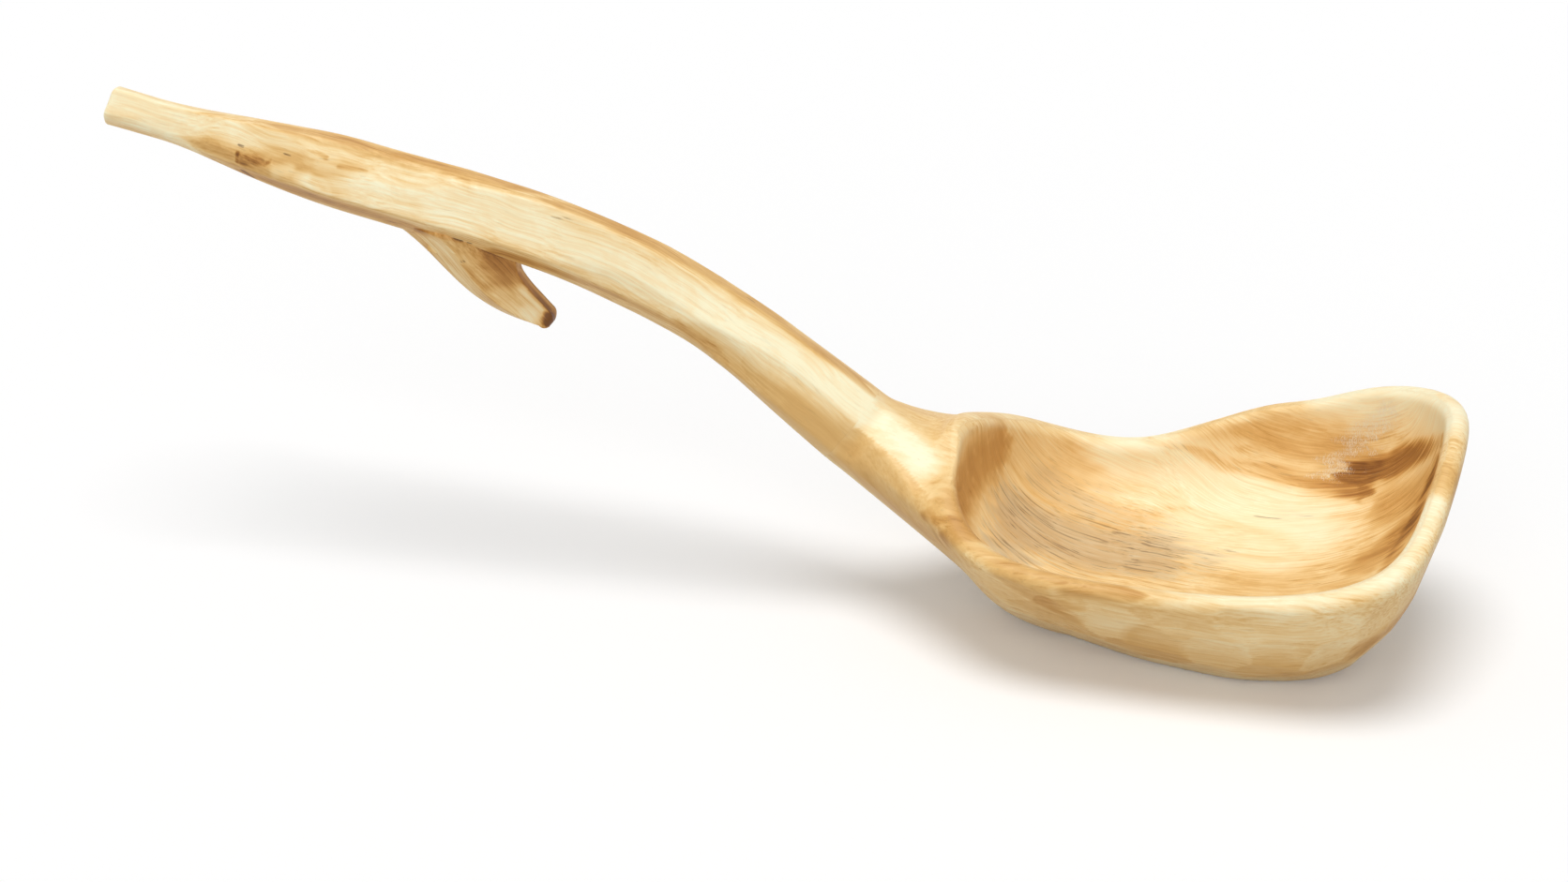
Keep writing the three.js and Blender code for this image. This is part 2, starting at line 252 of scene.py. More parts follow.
handle = {
    "neckThickness": 22.4, "gripThickness": 19.2, "tipThickness": 10.6, "neckTaper": 50, "tipTaper": 63,
    "tipLength": 12, "tipRound": 1.5, "tipTilt": 0.9, "tipSkew": 0.5, "tiltLength": 6,
    "tipLift": 0.7, "liftLength": 60, "spare": 1.3, "arris": 44,
    # the way each facet faces, in degrees from the far side round to up,
    # its share of half the thickness, and its painted shade, lighter or darker by the way it faces the light
    "neckFaces": (30, 84, 130, 178, 230, 284, 338), "gripFaces": (20, 90, 160, 224, 270, 328, 350),
    "neckShares": (0.95, 0.986, 0.892, 0.825, 0.925, 0.9, 0.675),
    "gripShares": (0.78, 1.0, 0.79, 0.93, 1.02, 0.86, 0.84),
    "paintedFaceShades": (0, -0.25, 0.3, -0.55, -0.35, 0, 0), "faceChange": (15, 85),
    # knife strokes: their number, depth and curve, and how crisp their edges are
    "cuts": 64, "cutMargin": 6, "cutDepth": (0.15, 0.55), "cutCurve": (160, 600), "cutCrispness": 60,
    "tipCuts": 10, "tipCutPlace": (-2, 20), "tipCutTurn": 0.2,
    "tipCutDepth": (0.35, 0.6), "tipCutCurve": (350, 900), "cutShade": 0.5, "cutCover": 0.5,
    "around": 144, "along": 440, "roundRings": 9,
}
carver = np.random.default_rng(12)


def handleThickness(distance):
    neck = 1 - smoothStep(distance, 0, handle["neckTaper"])
    tipEnd = handleLength - handle["tipLength"]
    tip = smoothStep(distance, tipEnd - handle["tipTaper"], tipEnd)
    swell = (handle["neckThickness"] - handle["gripThickness"]) * neck
    thinning = (handle["gripThickness"] - handle["tipThickness"]) * tip
    return handle["gripThickness"] + swell - thinning + handle["spare"]


def handleFacets(distance, thickness=2):
    # each facet blended from neck to grip: the way it faces, how far out it lies, and its painted shade
    blend = smoothStep(distance, *handle["faceChange"])
    rows = [handle[key] for key in ("neckFaces", "gripFaces", "neckShares", "gripShares", "paintedFaceShades")]
    for neckFace, gripFace, neckShare, gripShare, shade in zip(*rows):
        reach = between(neckShare, gripShare, blend) * thickness / 2
        yield np.radians(between(neckFace, gripFace, blend)), reach, shade


def facetedRadius(distance, angle):
    return faceted(angle, handleFacets(distance, handleThickness(distance)), handle["arris"])


def knifeCuts():
    # long shallow strokes: where each is deepest, the way it faces, how deep and how long
    count, tipCount, margin = handle["cuts"], handle["tipCuts"], handle["cutMargin"]
    place = carver.uniform(-margin, handleLength - margin, count)
    facing = carver.uniform(0, 2 * pi, count)
    depth = carver.uniform(*handle["cutDepth"], count)
    curve = carver.uniform(*handle["cutCurve"], count)
    tipPlace = handleLength - carver.uniform(*handle["tipCutPlace"], tipCount)
    tipTurn = carver.uniform(-handle["tipCutTurn"], handle["tipCutTurn"], tipCount)
    tipFacing = np.linspace(0, 2 * pi, tipCount, endpoint=False) + tipTurn
    tipDepth = carver.uniform(*handle["tipCutDepth"], tipCount)
    tipCurve = carver.uniform(*handle["tipCutCurve"], tipCount)
    pairs = ((place, tipPlace), (facing, tipFacing), (depth, tipDepth), (2 * curve, 2 * tipCurve))
    return [np.concatenate(pair) for pair in pairs]


cutPlaces, cutFacings, cutDepths, cutCurves = knifeCuts()


def strokeReach(distance, stroke):
    # how far out a stroke leaves the wood: its depth below the section at its middle, less towards its ends
    section = facetedRadius(np.clip(distance, 0, handleLength), cutFacings[stroke] + 0 * distance)
    return section - cutDepths[stroke] + (distance - cutPlaces[stroke]) ** 2 / cutCurves[stroke]


def handleRadius(distance, angle):
    # the section with every knife stroke taken off it: each stroke is a flat that fades out along the handle
    crisp = handle["cutCrispness"]
    total = (1 / facetedRadius(distance, angle)) ** crisp
    for stroke, facing in enumerate(cutFacings):
        total = total + (np.maximum(0, np.cos(angle - facing)) / strokeReach(distance, stroke)) ** crisp
    return total ** (-1 / crisp)


def handleSkin(distance, angle, shrink=0.0):
    point, up = spine(distance)
    radius = (handleRadius(distance, angle) - shrink)[..., None]
    sideways = np.stack([0 * angle, np.cos(angle), 0 * angle], -1)
    lift = handle["tipLift"] * smoothStep(distance, handleLength - handle["liftLength"], handleLength)
    return point + up * lift[..., None] + radius * (sideways + up * np.sin(angle)[..., None])


def handleRings():
    angle = np.linspace(0, 2 * pi, handle["around"], endpoint=False)
    body = np.linspace(0, handleLength - handle["tipRound"], handle["along"])
    d, a = np.meshgrid(body, angle, indexing="ij")
    rings = handleSkin(d, a)
    turn = np.linspace(0, pi / 2, handle["roundRings"])[1:]
    d, a = np.meshgrid(handleLength - handle["tipRound"] * (1 - np.sin(turn)), angle, indexing="ij")
    shrink = (handle["tipRound"] * (1 - np.cos(turn)))[:, None] + 0 * a
    rings = np.concatenate([rings, handleSkin(d, a, shrink)])
    # the knife took the end off at a slant
    middle, up = spine(np.float64(handleLength))
    along, above = (rings - middle) @ shallowAlong, (rings - middle) @ up
    slant = handle["tipTilt"] * (above - handle["tipSkew"] * rings[..., 1]) / handle["tipThickness"] * 2
    return rings - shallowAlong * (slant * smoothStep(along, -handle["tiltLength"], 0))[..., None]


# blind tenons: each starts at a root, spreads one way, reaches another, and is split by a wedge at its end

intoBowl, towardsBowl = -steepAlong, -shallowAlong
hookMiddle, hookUp = spine(np.float64(run["riseLength"] + bendLength + run["hookOnGrip"]))
hookRoot = hookMiddle - hookUp * handle["gripThickness"] / 2

joinery = {
    "neck": {"length": 22, "size": 12, "width": 11, "bite": 5.6, "axes": (joint, steepUp, intoBowl)},
    "hook": {"length": 11, "size": 12, "width": 6.5, "bite": 4.8, "axes": (hookRoot, towardsBowl, hookUp)},
    "spread": 1.2, "wedgeTip": 0.8, "wedgeHead": 2.4, "wedgeShare": 0.6, "gap": 0.3, "clearance": 3,
}


def block(name, outline, width, root, spreadWay, reachWay):
    # a flat outline carried across: x the way the tenon spreads, y to its end
    sideWay = np.cross(spreadWay, reachWay)
    flat = np.array(outline)
    middle = root + flat[:, :1] * spreadWay + flat[:, 1:] * reachWay
    rings = np.stack([middle - sideWay * width / 2, middle + sideWay * width / 2])
    return pieceFrom(name, *tube(rings))


def tenonOutline(place, sunk, grown):
    size, length = place["size"] / 2 + grown, place["length"] + grown
    wide = size + joinery["spread"] / 2
    return [(-size, -sunk), (size, -sunk), (size, 0), (wide, length), (-wide, length), (-size, 0)]


def tenon(place):
    return block("tenon", tenonOutline(place, place["bite"], 0), place["width"], *place["axes"])


def mortise(place, sunk):
    gap = joinery["gap"]
    return block("mortise", tenonOutline(place, sunk, gap), place["width"] + 2 * gap, *place["axes"])


def kerf(place):
    length, gap = place["length"], joinery["gap"]
    tip, head = joinery["wedgeTip"] / 2 + gap, joinery["wedgeHead"] / 2 + gap
    start = length * (1 - joinery["wedgeShare"]) - gap
    outline = [(-tip, start), (tip, start), (head, length + 2 * gap), (-head, length + 2 * gap)]
    return block("kerf", outline, place["width"] + 2 * gap, *place["axes"])


handlePiece = pieceFrom("ladle_handle", *tube(handleRings()))
handleBlank = handlePiece.copy()
handleBlank.data = handlePiece.data.copy()
scene.collection.objects.link(handleBlank)
cutWith(handlePiece, tenon(joinery["neck"]), "UNION")
cutWith(handlePiece, kerf(joinery["neck"]), "DIFFERENCE")
cutWith(handlePiece, mortise(joinery["hook"], joinery["clearance"]), "DIFFERENCE")
print("handle carved:", len(handlePiece.data.polygons), "faces")


# hook

hook = {
    "rootLength": 39.5, "drop": 19.0, "reach": 11.5, "tipDepth": 6.0, "rootWidth": 13.0, "tipWidth": 8.0,
    "rootFlare": 2.0, "flareFade": 0.13, "flare": 18.0, "undercut": 3.5, "sunk": 2.2, "deeper": (2.4, 1.2),
    "backStart": 7.0, "backDrops": (0.12, 1.05), "throatStart": 3.0, "throatDrops": (0.2, 0.36),
    "noseLength": 2.4, "noseRings": 11, "noseRound": 0.92, "scoop": 0.09, "scoopAngle": 24, "scoopLength": 1.25,
    # the way each facet faces, in degrees from the throat round the near side, at the root and at the tip
    "rootFaces": (0, 50, 126, 180, 234, 310), "tipFaces": (0, 72, 150, 188, 215, 292),
    "shares": (0.95, 0.84, 0.84, 0.95, 0.85, 0.86), "arris": 44,
    # the painted shade of each facet, by the way it faces the light, and the painted light where the scooped
    # one nears the tip
    "paintedFaceShades": (-0.5, -0.75, 0.1, 0, 0.01, 0),
    "tipShade": 0.6, "tipShadeStart": (0.55, 0.7), "shadeReach": 2,
    "grainDrop": 0.75, "grainStart": 400,  # the hook's own fibres, far from those of the handle
    "around": 120, "along": 130,
}
scoopedFacet = 1


def hookFacets(share):
    # each facet turned from root to tip: the way it faces, how far out it lies, and its painted shade
    rows = [hook[key] for key in ("rootFaces", "tipFaces", "shares", "paintedFaceShades")]
    for rootFace, tipFace, reach, shade in zip(*rows):
        yield np.radians(between(rootFace, tipFace, share)), reach, shade


def curve(share, places):
    # a cubic from its first to its last place, drawn by the two between
    a, b, c, d = np.array(places, float)
    s = share[:, None]
    return a * (1 - s) ** 3 + 3 * b * s * (1 - s) ** 2 + 3 * c * s * s * (1 - s) + d * s ** 3


def hookRings():
    # rings slung between the back edge and the throat, from inside the handle to a rounded tip
    front, drop, sunk = hook["rootLength"] / 2, hook["drop"], hook["sunk"]
    tip = front + hook["reach"]
    backHigh, backLow = hook["backDrops"]
    throatHigh, throatLow = hook["throatDrops"]
    share = np.linspace(0, 1, hook["along"])
    back = curve(share, [(-front - hook["backStart"], -sunk), (-front + hook["flare"], drop * backHigh),
                         (0, drop * backLow), (tip - hook["tipDepth"] / 2, drop)])
    throat = curve(share, [(front + hook["throatStart"], -sunk), (front - hook["undercut"], drop * throatHigh),
                           (front + hook["reach"] / 3, drop * throatLow), (tip, drop - hook["tipDepth"])])
    flare = hook["rootFlare"] * np.exp(-(share / hook["flareFade"]) ** 2)
    width = between(hook["rootWidth"], hook["tipWidth"], share) + flare
    # two smaller rings deeper in the handle
    deeper = np.array(hook["deeper"])
    back = np.concatenate([np.stack([back[0, 0] + 2 * deeper, -sunk - deeper], -1), back])
    throat = np.concatenate([np.stack([throat[0, 0] - deeper, -sunk - deeper], -1), throat])
    width = np.concatenate([width[0] - 1.5 * deeper, width])
    share = np.concatenate([0 * deeper, share])
    # the nose rounds off along a quarter oval
    nose = np.linspace(0, 1, hook["noseRings"] + 1)[1:]
    shift = np.outer(nose * hook["noseLength"], unit(throat[-1] - throat[-2]))
    back, throat = np.concatenate([back, back[-1] + shift]), np.concatenate([throat, throat[-1] + shift])
    width = np.concatenate([width, 0 * nose + width[-1]])
    size = np.concatenate([0 * share + 1, np.sqrt(1 - (hook["noseRound"] * nose) ** 2)])
    share = np.concatenate([share, 0 * nose + 1])[:, None]
    turn = np.linspace(0, 2 * pi, hook["around"], endpoint=False)[None]
    # the near facet towards the throat is scooped a little hollow
    scoopFacing = between(hook["rootFaces"][scoopedFacet], hook["tipFaces"][scoopedFacet], share)
    off = (turn - np.radians(scoopFacing)) / radians(hook["scoopAngle"])
    hollow = hook["scoop"] * np.exp(-off ** 2) * np.sin(pi * np.clip(share * hook["scoopLength"], 0, 1))
    radius = faceted(turn, hookFacets(share), hook["arris"]) - hollow
    middle, half = (back + throat) / 2, (throat - back) / 2 * size[:, None]
    flat = middle[:, None] + half[:, None] * (radius * np.cos(turn))[..., None]
    side = -(width * size / 2)[:, None] * radius * np.sin(turn)
    return (hookRoot + flat[..., :1] * towardsBowl - flat[..., 1:] * hookUp
            + side[..., None] * np.array([0.0, 1.0, 0.0]))


hookPiece = pieceFrom("ladle_hook", *tube(hookRings()))
cutWith(hookPiece, handleBlank, "DIFFERENCE")
cutWith(hookPiece, tenon(joinery["hook"]), "UNION")
cutWith(hookPiece, kerf(joinery["hook"]), "DIFFERENCE")
print("hook carved:", len(hookPiece.data.polygons), "faces")


# bowl

bowl = {
    "length": 131.4, "width": 92.8, "squareness": 4, "neckRoundness": 1.1, "neckRounding": 65,
    "rimHeight": 35.5, "rimWall": 6.3, "sideDip": 2.6, "shelf": 10, "peak": 85.0,
    "floor": 13, "footLength": 97, "footWidth": 43, "footTaper": 0.6, "footFlat": 0.25,
    "wallFullness": 1.42, "neckLeanness": 0.25, "neckSweep": 79, "hollowFullness": 2.5, "hollowSetback": 9,
    "lipAngle": 18.7, "lipNear": 41, "lipFar": 65, "lipRise": 27.7, "lipReach": 8.2,
    # changes round the rim: how much, and the middle and the width on each side in degrees
    "neckRise": (18.6, 180, 29.5, 25.5), "farHump": (2.3, 147, 14, 14), "sideHollow": (2.0, 113, 18, 18),
    "lipHollow": (2.0, 57, 11, 10), "cornerWall": (4.5, 166, 24, 13), "neckEdge": (0.55, 192, 16, 34),
    "neckHalfAngle": 34, "neckTop": 108, "neckSide": 93, "neckBottom": 14, "neckPull": 27, "wallPull": 12,
    # the ridge that runs on from the handle, by its share of the way to the rim, and its place round the neck
    "ridgeShares": (0, 0.21, 0.35, 0.54, 0.75, 1), "ridgePlaces": (153, 147, 140, 135, 133, 152),
    "ridgeHeight": 1.3, "ridgeAngle": 32,
    # flats planed on the neck: about where, the way each faces, how deep and how wide
    "neckFlats": [((-75, -10, 50.5), (0.1, -0.53, 0.84), 0.8, 20)], "flatTop": 0.5, "flatEdge": 0.7,
    # the crease between neck and wall is filled inside an oval, but not where the ridge is
    "seamMiddle": (-62.0, 0.0, 34.0), "seamSize": (24.0, 46.0, 34.0), "seamFade": (0.7, 1.05),
    "ridgeKept": 0.92, "ridgeHeights": (41, 48), "fillRounds": 200, "fillRefresh": 20,
    "fillOut": 0.6, "fillSlide": 0.4,
    # along the run, the stretch before the joint in which the neck turns into the handle's skin
    "joinStretch": (-7, -0.5), "joinEnd": 3.2, "joinRadius": 16, "joinReach": (-8, 6),
    "scoops": 70, "scoopDepth": 0.25, "scoopSize": 9, "scoopCrispness": 9, "scoopHeights": (0.05, 1),
    "cutRows": (22, 37, 53, 70), "cutsInRow": 26, "cutDepth": (0.25, 0.65), "cutWindow": 17, "cutClear": 52,
    "cutStrays": (0.1, 0.12), "cutShift": 0.13, "cutTilt": 0.035, "cutEdge": 0.75, "cutMost": (1.0, 2.0),
    "cutShade": 0.4, "shadeDepth": 0.12, "shadeEdge": 0.85,
    # which points lie in the hollow, and how the grain is laid over it
    "hollowMiddle": (-5.0, 0.0, 40.0), "hollowFacing": 0.3, "hollowBack": -62, "wallStart": (4, 20),
    "farSlant": 0.3, "farSide": (22, 38), "farRun": (-15, 15),
    # on the neck: how far the painted facet shades reach along it and round it, in degrees
    "neckFront": -52, "neckFade": (0.6, 1), "topShade": (50, 108), "lowerShadeEnd": 235, "shadeReach": 4,
    "voxel": 0.8, "firstRelax": 2, "relax": 3,
    "wallGrid": (320, 60), "hollowGrid": (360, 80), "neckGrid": (128, 40), "rimRings": 12,
}


def bump(angle, most, middle, before, after):
    return most * swelling(angle, middle, before, after)


def lip(angle):
    return swelling(angle, bowl["lipAngle"], bowl["lipNear"], bowl["lipFar"])


def rimTop(angle):
    # level at the ends, dipped at the sides, raised at the lip and at the neck
    rise = bowl["lipRise"] * lip(angle) + bump(angle, *bowl["neckRise"]) + bump(angle, *bowl["farHump"])
    dip = bowl["sideDip"] * np.sin(angle) ** 2 + bump(angle, *bowl["sideHollow"])
    dip = dip + bump(angle, *bowl["lipHollow"])
    return bowl["rimHeight"] - dip + rise


def rimWide(angle):
    # the rim is wider at the far corner beside the neck
    return bowl["rimWall"] + bump(angle, *bowl["cornerWall"])


def rimOut(angle, inset):
    # a squared oval, rounder at the neck, drawn in by inset, with the lip reaching beyond it
    fade = bowl["neckRounding"]
    power = bowl["squareness"] - bump(angle, bowl["neckRoundness"], 180, fade, fade)
    c = np.abs(np.cos(angle)) / (bowl["length"] / 2 - inset)
    s = np.abs(np.sin(angle)) / (bowl["width"] / 2 - inset)
    radius = (c ** power + s ** power) ** (-1 / power) + bowl["lipReach"] * lip(angle)
    return np.stack([radius * np.cos(angle), radius * np.sin(angle)], -1)


def outerWall(angle, climb):
    # a quarter oval from the edge of the egg-shaped foot to the rim, leaner where it sweeps up to the neck
    half = bowl["footWidth"] / 2 * (1 + bowl["footTaper"] * np.cos(angle))
    foot = np.stack([bowl["footLength"] / 2 * np.cos(angle), half * np.sin(angle)], -1)
    lean = bump(angle, bowl["neckLeanness"], 180, bowl["neckSweep"], bowl["neckSweep"])
    power = 2 / (bowl["wallFullness"] - lean)
    flat = between(foot, rimOut(angle, 0), (np.sin(climb) ** power)[..., None])
    height = (1 - np.maximum(0, np.cos(climb)) ** power) * (rimTop(angle) - bowl["rimWall"] / 2)
    return np.concatenate([flat, height[..., None]], -1)


def innerWall(angle, climb):
    # a fuller quarter oval from the deepest point of the hollow to the rim
    power = 2 / bowl["hollowFullness"]
    deepest = np.array([-bowl["hollowSetback"], 0.0])
    flat = between(deepest, rimOut(angle, rimWide(angle)), (np.sin(climb) ** power)[..., None])
    share = 1 - np.maximum(0, np.cos(climb)) ** power
    height = between(bowl["floor"], rimTop(angle) - bowl["rimWall"] / 2, share)
    return np.concatenate([flat, height[..., None]], -1)


def rimRound(angle, turn):
    # half a circle over the rim, from the outside to the inside
    half = bowl["rimWall"] / 2
    flat = rimOut(angle, rimWide(angle) / 2 * (1 - np.cos(turn)))
    return np.concatenate([flat, (rimTop(angle) - half + half * np.sin(turn))[..., None]], -1)


def outward(surface, angle, climb):
    # the way a wall faces, from two short steps on it
    step = 1e-3
    here = surface(angle, climb)
    return unit(np.cross(surface(angle + step, climb) - here, surface(angle, climb + step) - here))


def scooped(points, angle, climb):
    # shallow hollows left by a bent knife: deepest at scattered seeds, with soft ridges half way between them
    seedAngle = carver.uniform(0, 2 * pi, bowl["scoops"])
    seedClimb = np.arccos(carver.uniform(*bowl["scoopHeights"], bowl["scoops"]))
    seeds = innerWall(seedAngle, seedClimb)
    flat = points.reshape(-1, 3)
    apart = np.linalg.norm(flat[:, None] - seeds[None], axis=-1) / bowl["scoopSize"]
    crisp = bowl["scoopCrispness"]
    near = -np.log(np.sum(np.exp(-crisp * apart ** 2), axis=1) + 1e-9) / crisp
    depth = bowl["scoopDepth"] * (1 - np.clip(near, 0, 1)).reshape(angle.shape)
    belowRim = np.minimum(climb, pi / 2 - 0.02)
    return points - outward(innerWall, angle, belowRim) * depth[..., None]


def blankRings():
    # the bowl before it is hollowed: the outside, half way over the rim, a level shelf and a cone to close it
    around, up = bowl["wallGrid"]
    angle = np.linspace(0, 2 * pi, around, endpoint=False)
    outside = outerWall(*np.meshgrid(angle, np.linspace(0, pi / 2, up)))
    over = rimRound(*np.meshgrid(angle, np.linspace(0, pi / 2, bowl["rimRings"])[1:]))
    shelf = np.concatenate([rimOut(angle, bowl["rimWall"] / 2 + bowl["shelf"]), rimTop(angle)[:, None]], -1)
    peak = np.array([0.0, 0.0, bowl["peak"]])
    cone = [between(shelf, peak, share) for share in (0, 0.3, 0.6, 0.9)]
    return np.concatenate([outside, over, np.stack(cone)])


def hollowRings():
    # what the bent knife takes out: the hollow, the inner half of the rim's round, and all above it
    around, up = bowl["hollowGrid"]
    angle = np.linspace(0, 2 * pi, around, endpoint=False)
    a, c = np.meshgrid(angle, np.linspace(0.03, pi / 2, up))
    inside = scooped(innerWall(a, c), a, c)
    # at the neck the round stops short, so that the hollow has an edge there
    a, share = np.meshgrid(angle, np.linspace(0, 1, bowl["rimRings"])[1:])
    over = rimRound(a, pi - share * (pi / 2) * (1 - bump(a, *bowl["neckEdge"])))
    away = np.concatenate([unit(rimOut(angle, 0)), 0 * angle[:, None]], -1)
    steps = ((0.6, 3.0), (3.0, 12.0), (6.0, 60.0))  # out from the rim and up
    above = [over[-1] + away * out + np.array([0.0, 0.0, up]) for out, up in steps]
    return np.concatenate([inside, over, np.stack(above)])


def wallSkin(angle, climb):
    # the outer wall and, past a quarter turn, on over the rim
    over = climb > pi / 2
    wall = outerWall(angle, np.minimum(climb, pi / 2))
    return np.where(over[..., None], rimRound(angle, np.maximum(0, climb - pi / 2)), wall)


def neckRings():
    # leaves the joint along the run and meets the rim and the wall along them, then ends inside the wall
    around, rings = bowl["neckGrid"]
    angle = np.linspace(0, 2 * pi, around, endpoint=False)

    def place(part):
        end = np.where(np.sin(angle) > 0, bowl["neckTop"], bowl["neckBottom"])
        climb = np.radians(between(bowl["neckSide"], end, part * np.abs(np.sin(angle))))
        return pi - part * radians(bowl["neckHalfAngle"]) * np.cos(angle), climb

    def midWall(turn, climb):
        return between(wallSkin(turn, climb), innerWall(turn, np.minimum(climb, pi / 2)), 0.5)

    start = handleSkin(0 * angle, angle)
    wall = wallSkin(*place(1))
    almost = 0.98  # a short step back from the wall
    leaving = unit(wall - wallSkin(*place(almost)))
    s = np.linspace(0, 1, rings)[:, None, None]
    skin = (start * (2 * s ** 3 - 3 * s ** 2 + 1) + intoBowl * (s ** 3 - 2 * s ** 2 + s) * bowl["neckPull"]
            + wall * (3 * s ** 2 - 2 * s ** 3) + leaving * (s ** 3 - s ** 2) * bowl["wallPull"])
    ridge = np.radians(np.interp(s, bowl["ridgeShares"], bowl["ridgePlaces"]))
    offRidge = np.abs(angle[None, :, None] - ridge) / radians(bowl["ridgeAngle"])
    roof = np.maximum(0, 1 - offRidge) * np.sin(pi * s)
    skin = skin + unit(skin - skin.mean(axis=1, keepdims=True)) * roof * bowl["ridgeHeight"]
    d, a = np.meshgrid([4.0, 3.0, 2.0, 1.0], angle, indexing="ij")  # rings inside the handle's end
    inner = [midWall(*place(part)) for part in (1, 0.7, 0.4, 0.1)]
    return np.concatenate([handleSkin(d, a), skin, np.stack(inner)])


def whittled(points, middles, ways, depths, window):
    # each stroke is a flat: what stands out beyond it, close by, is pushed back to it
    for middle, way, depth in zip(middles, ways, depths):
        away = points - middle
        proud = np.maximum(0, away @ way + depth)
        close = 1 - smoothStep(np.linalg.norm(away, axis=1), bowl["cutEdge"] * window, window)
        points = points - way * (proud * close * (1 - smoothStep(proud, *bowl["cutMost"])))[:, None]
    return points


def planed(points, flats):
    # a flat takes its depth off whatever stands out most around its place
    for place, way, depth, window in flats:
        way = unit(np.array(way))
        away = np.linalg.norm(points - np.array(place, float), axis=1)
        height = points @ way
        top = np.max(height[away < bowl["flatTop"] * window])
        close = 1 - smoothStep(away, bowl["flatEdge"] * window, window)
        points = points - way * (np.maximum(0, height - top + depth) * close)[:, None]
    return points


def oneSkin(piece, relaxed):
    # closed skins that run into each other become one, with even faces
    remesh = piece.modifiers.new("one skin", "REMESH")
    remesh.mode = "VOXEL"
    remesh.voxel_size = bowl["voxel"] * mm
    relax = piece.modifiers.new("even", "SMOOTH")
    relax.factor = 0.5
    relax.iterations = relaxed
    settle(piece)


def filled(piece, weight, rounds):
    # a point moves to the middle of its neighbours only where that is outward, so creases fill and ridges stay
    points = pointsOf(piece)
    around = Neighbours(piece.data)
    for turn in range(rounds):
        if turn % bowl["fillRefresh"] == 0:
            movePoints(piece, points)
            facing = normalsOf(piece.data)
        move = np.stack([around.mean(points[:, side]) for side in range(3)], -1) - points
        out = np.sum(move * facing, axis=1, keepdims=True)
        flat = move - out * facing
        push = bowl["fillOut"] * np.maximum(0, out) * facing + bowl["fillSlide"] * flat
        points = points + weight[:, None] * push
    movePoints(piece, points)


def wallCuts():
    # rows of knife strokes round the wall, clear of the neck: the middle, the way and the depth of each
    rows, places = np.meshgrid(np.radians(bowl["cutRows"]),
                               np.linspace(0, 2 * pi, bowl["cutsInRow"], endpoint=False), indexing="ij")
    strayUp, strayRound = bowl["cutStrays"]
    climb = (rows + carver.uniform(-strayUp, strayUp, rows.shape)).ravel()
    stagger = bowl["cutShift"] * np.arange(len(rows))[:, None]
    angle = (places + carver.uniform(-strayRound, strayRound, rows.shape) + stagger).ravel()
    offNeck = np.abs(angle % (2 * pi) - pi) > radians(bowl["cutClear"])
    angle, climb = angle[offNeck], climb[offNeck]
    middles = outerWall(angle, climb)
    ways = unit(outward(outerWall, angle, climb) + carver.normal(0, bowl["cutTilt"], middles.shape))
    return middles, ways, carver.uniform(*bowl["cutDepth"], len(middles))


def joined(points):
    # close to the joint the neck is the handle's own skin, so that the two run on without a step
    along, across, above = straightened(points).T
    radius, turn = np.hypot(across, above), np.arctan2(above, across)
    near = smoothStep(along, *bowl["joinStretch"]) * (along < bowl["joinEnd"]) * (radius < bowl["joinRadius"])
    push = near * (handleRadius(np.clip(along, *bowl["joinReach"]), turn) - radius)
    ways = np.cos(turn)[:, None] * np.array([0.0, 1.0, 0.0]) + np.sin(turn)[:, None] * steepUp
    return points + ways * push[:, None]


blankPoints, blankFaces = tube(blankRings())
neckPoints, neckFaces = tube(neckRings())
shift = len(blankPoints)
bowlPiece = pieceFrom("ladle_bowl", np.concatenate([blankPoints, neckPoints]),
                      blankFaces + [[corner + shift for corner in face] for face in neckFaces])
oneSkin(bowlPiece, bowl["firstRelax"])
soft = pointsOf(bowlPiece)
seam = np.linalg.norm((soft - np.array(bowl["seamMiddle"])) / np.array(bowl["seamSize"]), axis=1)
seamWeight = 1 - smoothStep(seam, *bowl["seamFade"])
ridgeWeight = 1 - bowl["ridgeKept"] * smoothStep(soft[:, 2], *bowl["ridgeHeights"])
filled(bowlPiece, seamWeight * ridgeWeight, bowl["fillRounds"])
cutWith(bowlPiece, pieceFrom("hollow", *tube(hollowRings())), "DIFFERENCE")
oneSkin(bowlPiece, bowl["relax"])

bowlCuts = wallCuts()
carved = whittled(pointsOf(bowlPiece), *bowlCuts, bowl["cutWindow"])
carved = joined(planed(carved, bowl["neckFlats"]))
carved[:, 2] = np.where(carved[:, 2] < bowl["footFlat"], 0, carved[:, 2])  # the foot stands flat
movePoints(bowlPiece, carved)
half, back, over = 20, -12, 0.02
jointFace = [(-half, back), (half, back), (half, over), (-half, over)]
cutWith(bowlPiece, block("joint face", jointFace, 2 * half, joint, steepUp, intoBowl), "DIFFERENCE")
cutWith(bowlPiece, mortise(joinery["neck"], joinery["gap"]), "DIFFERENCE")
print("bowl carved:", len(bowlPiece.data.polygons), "faces")


# shader wires: a socket that works in Python expressions

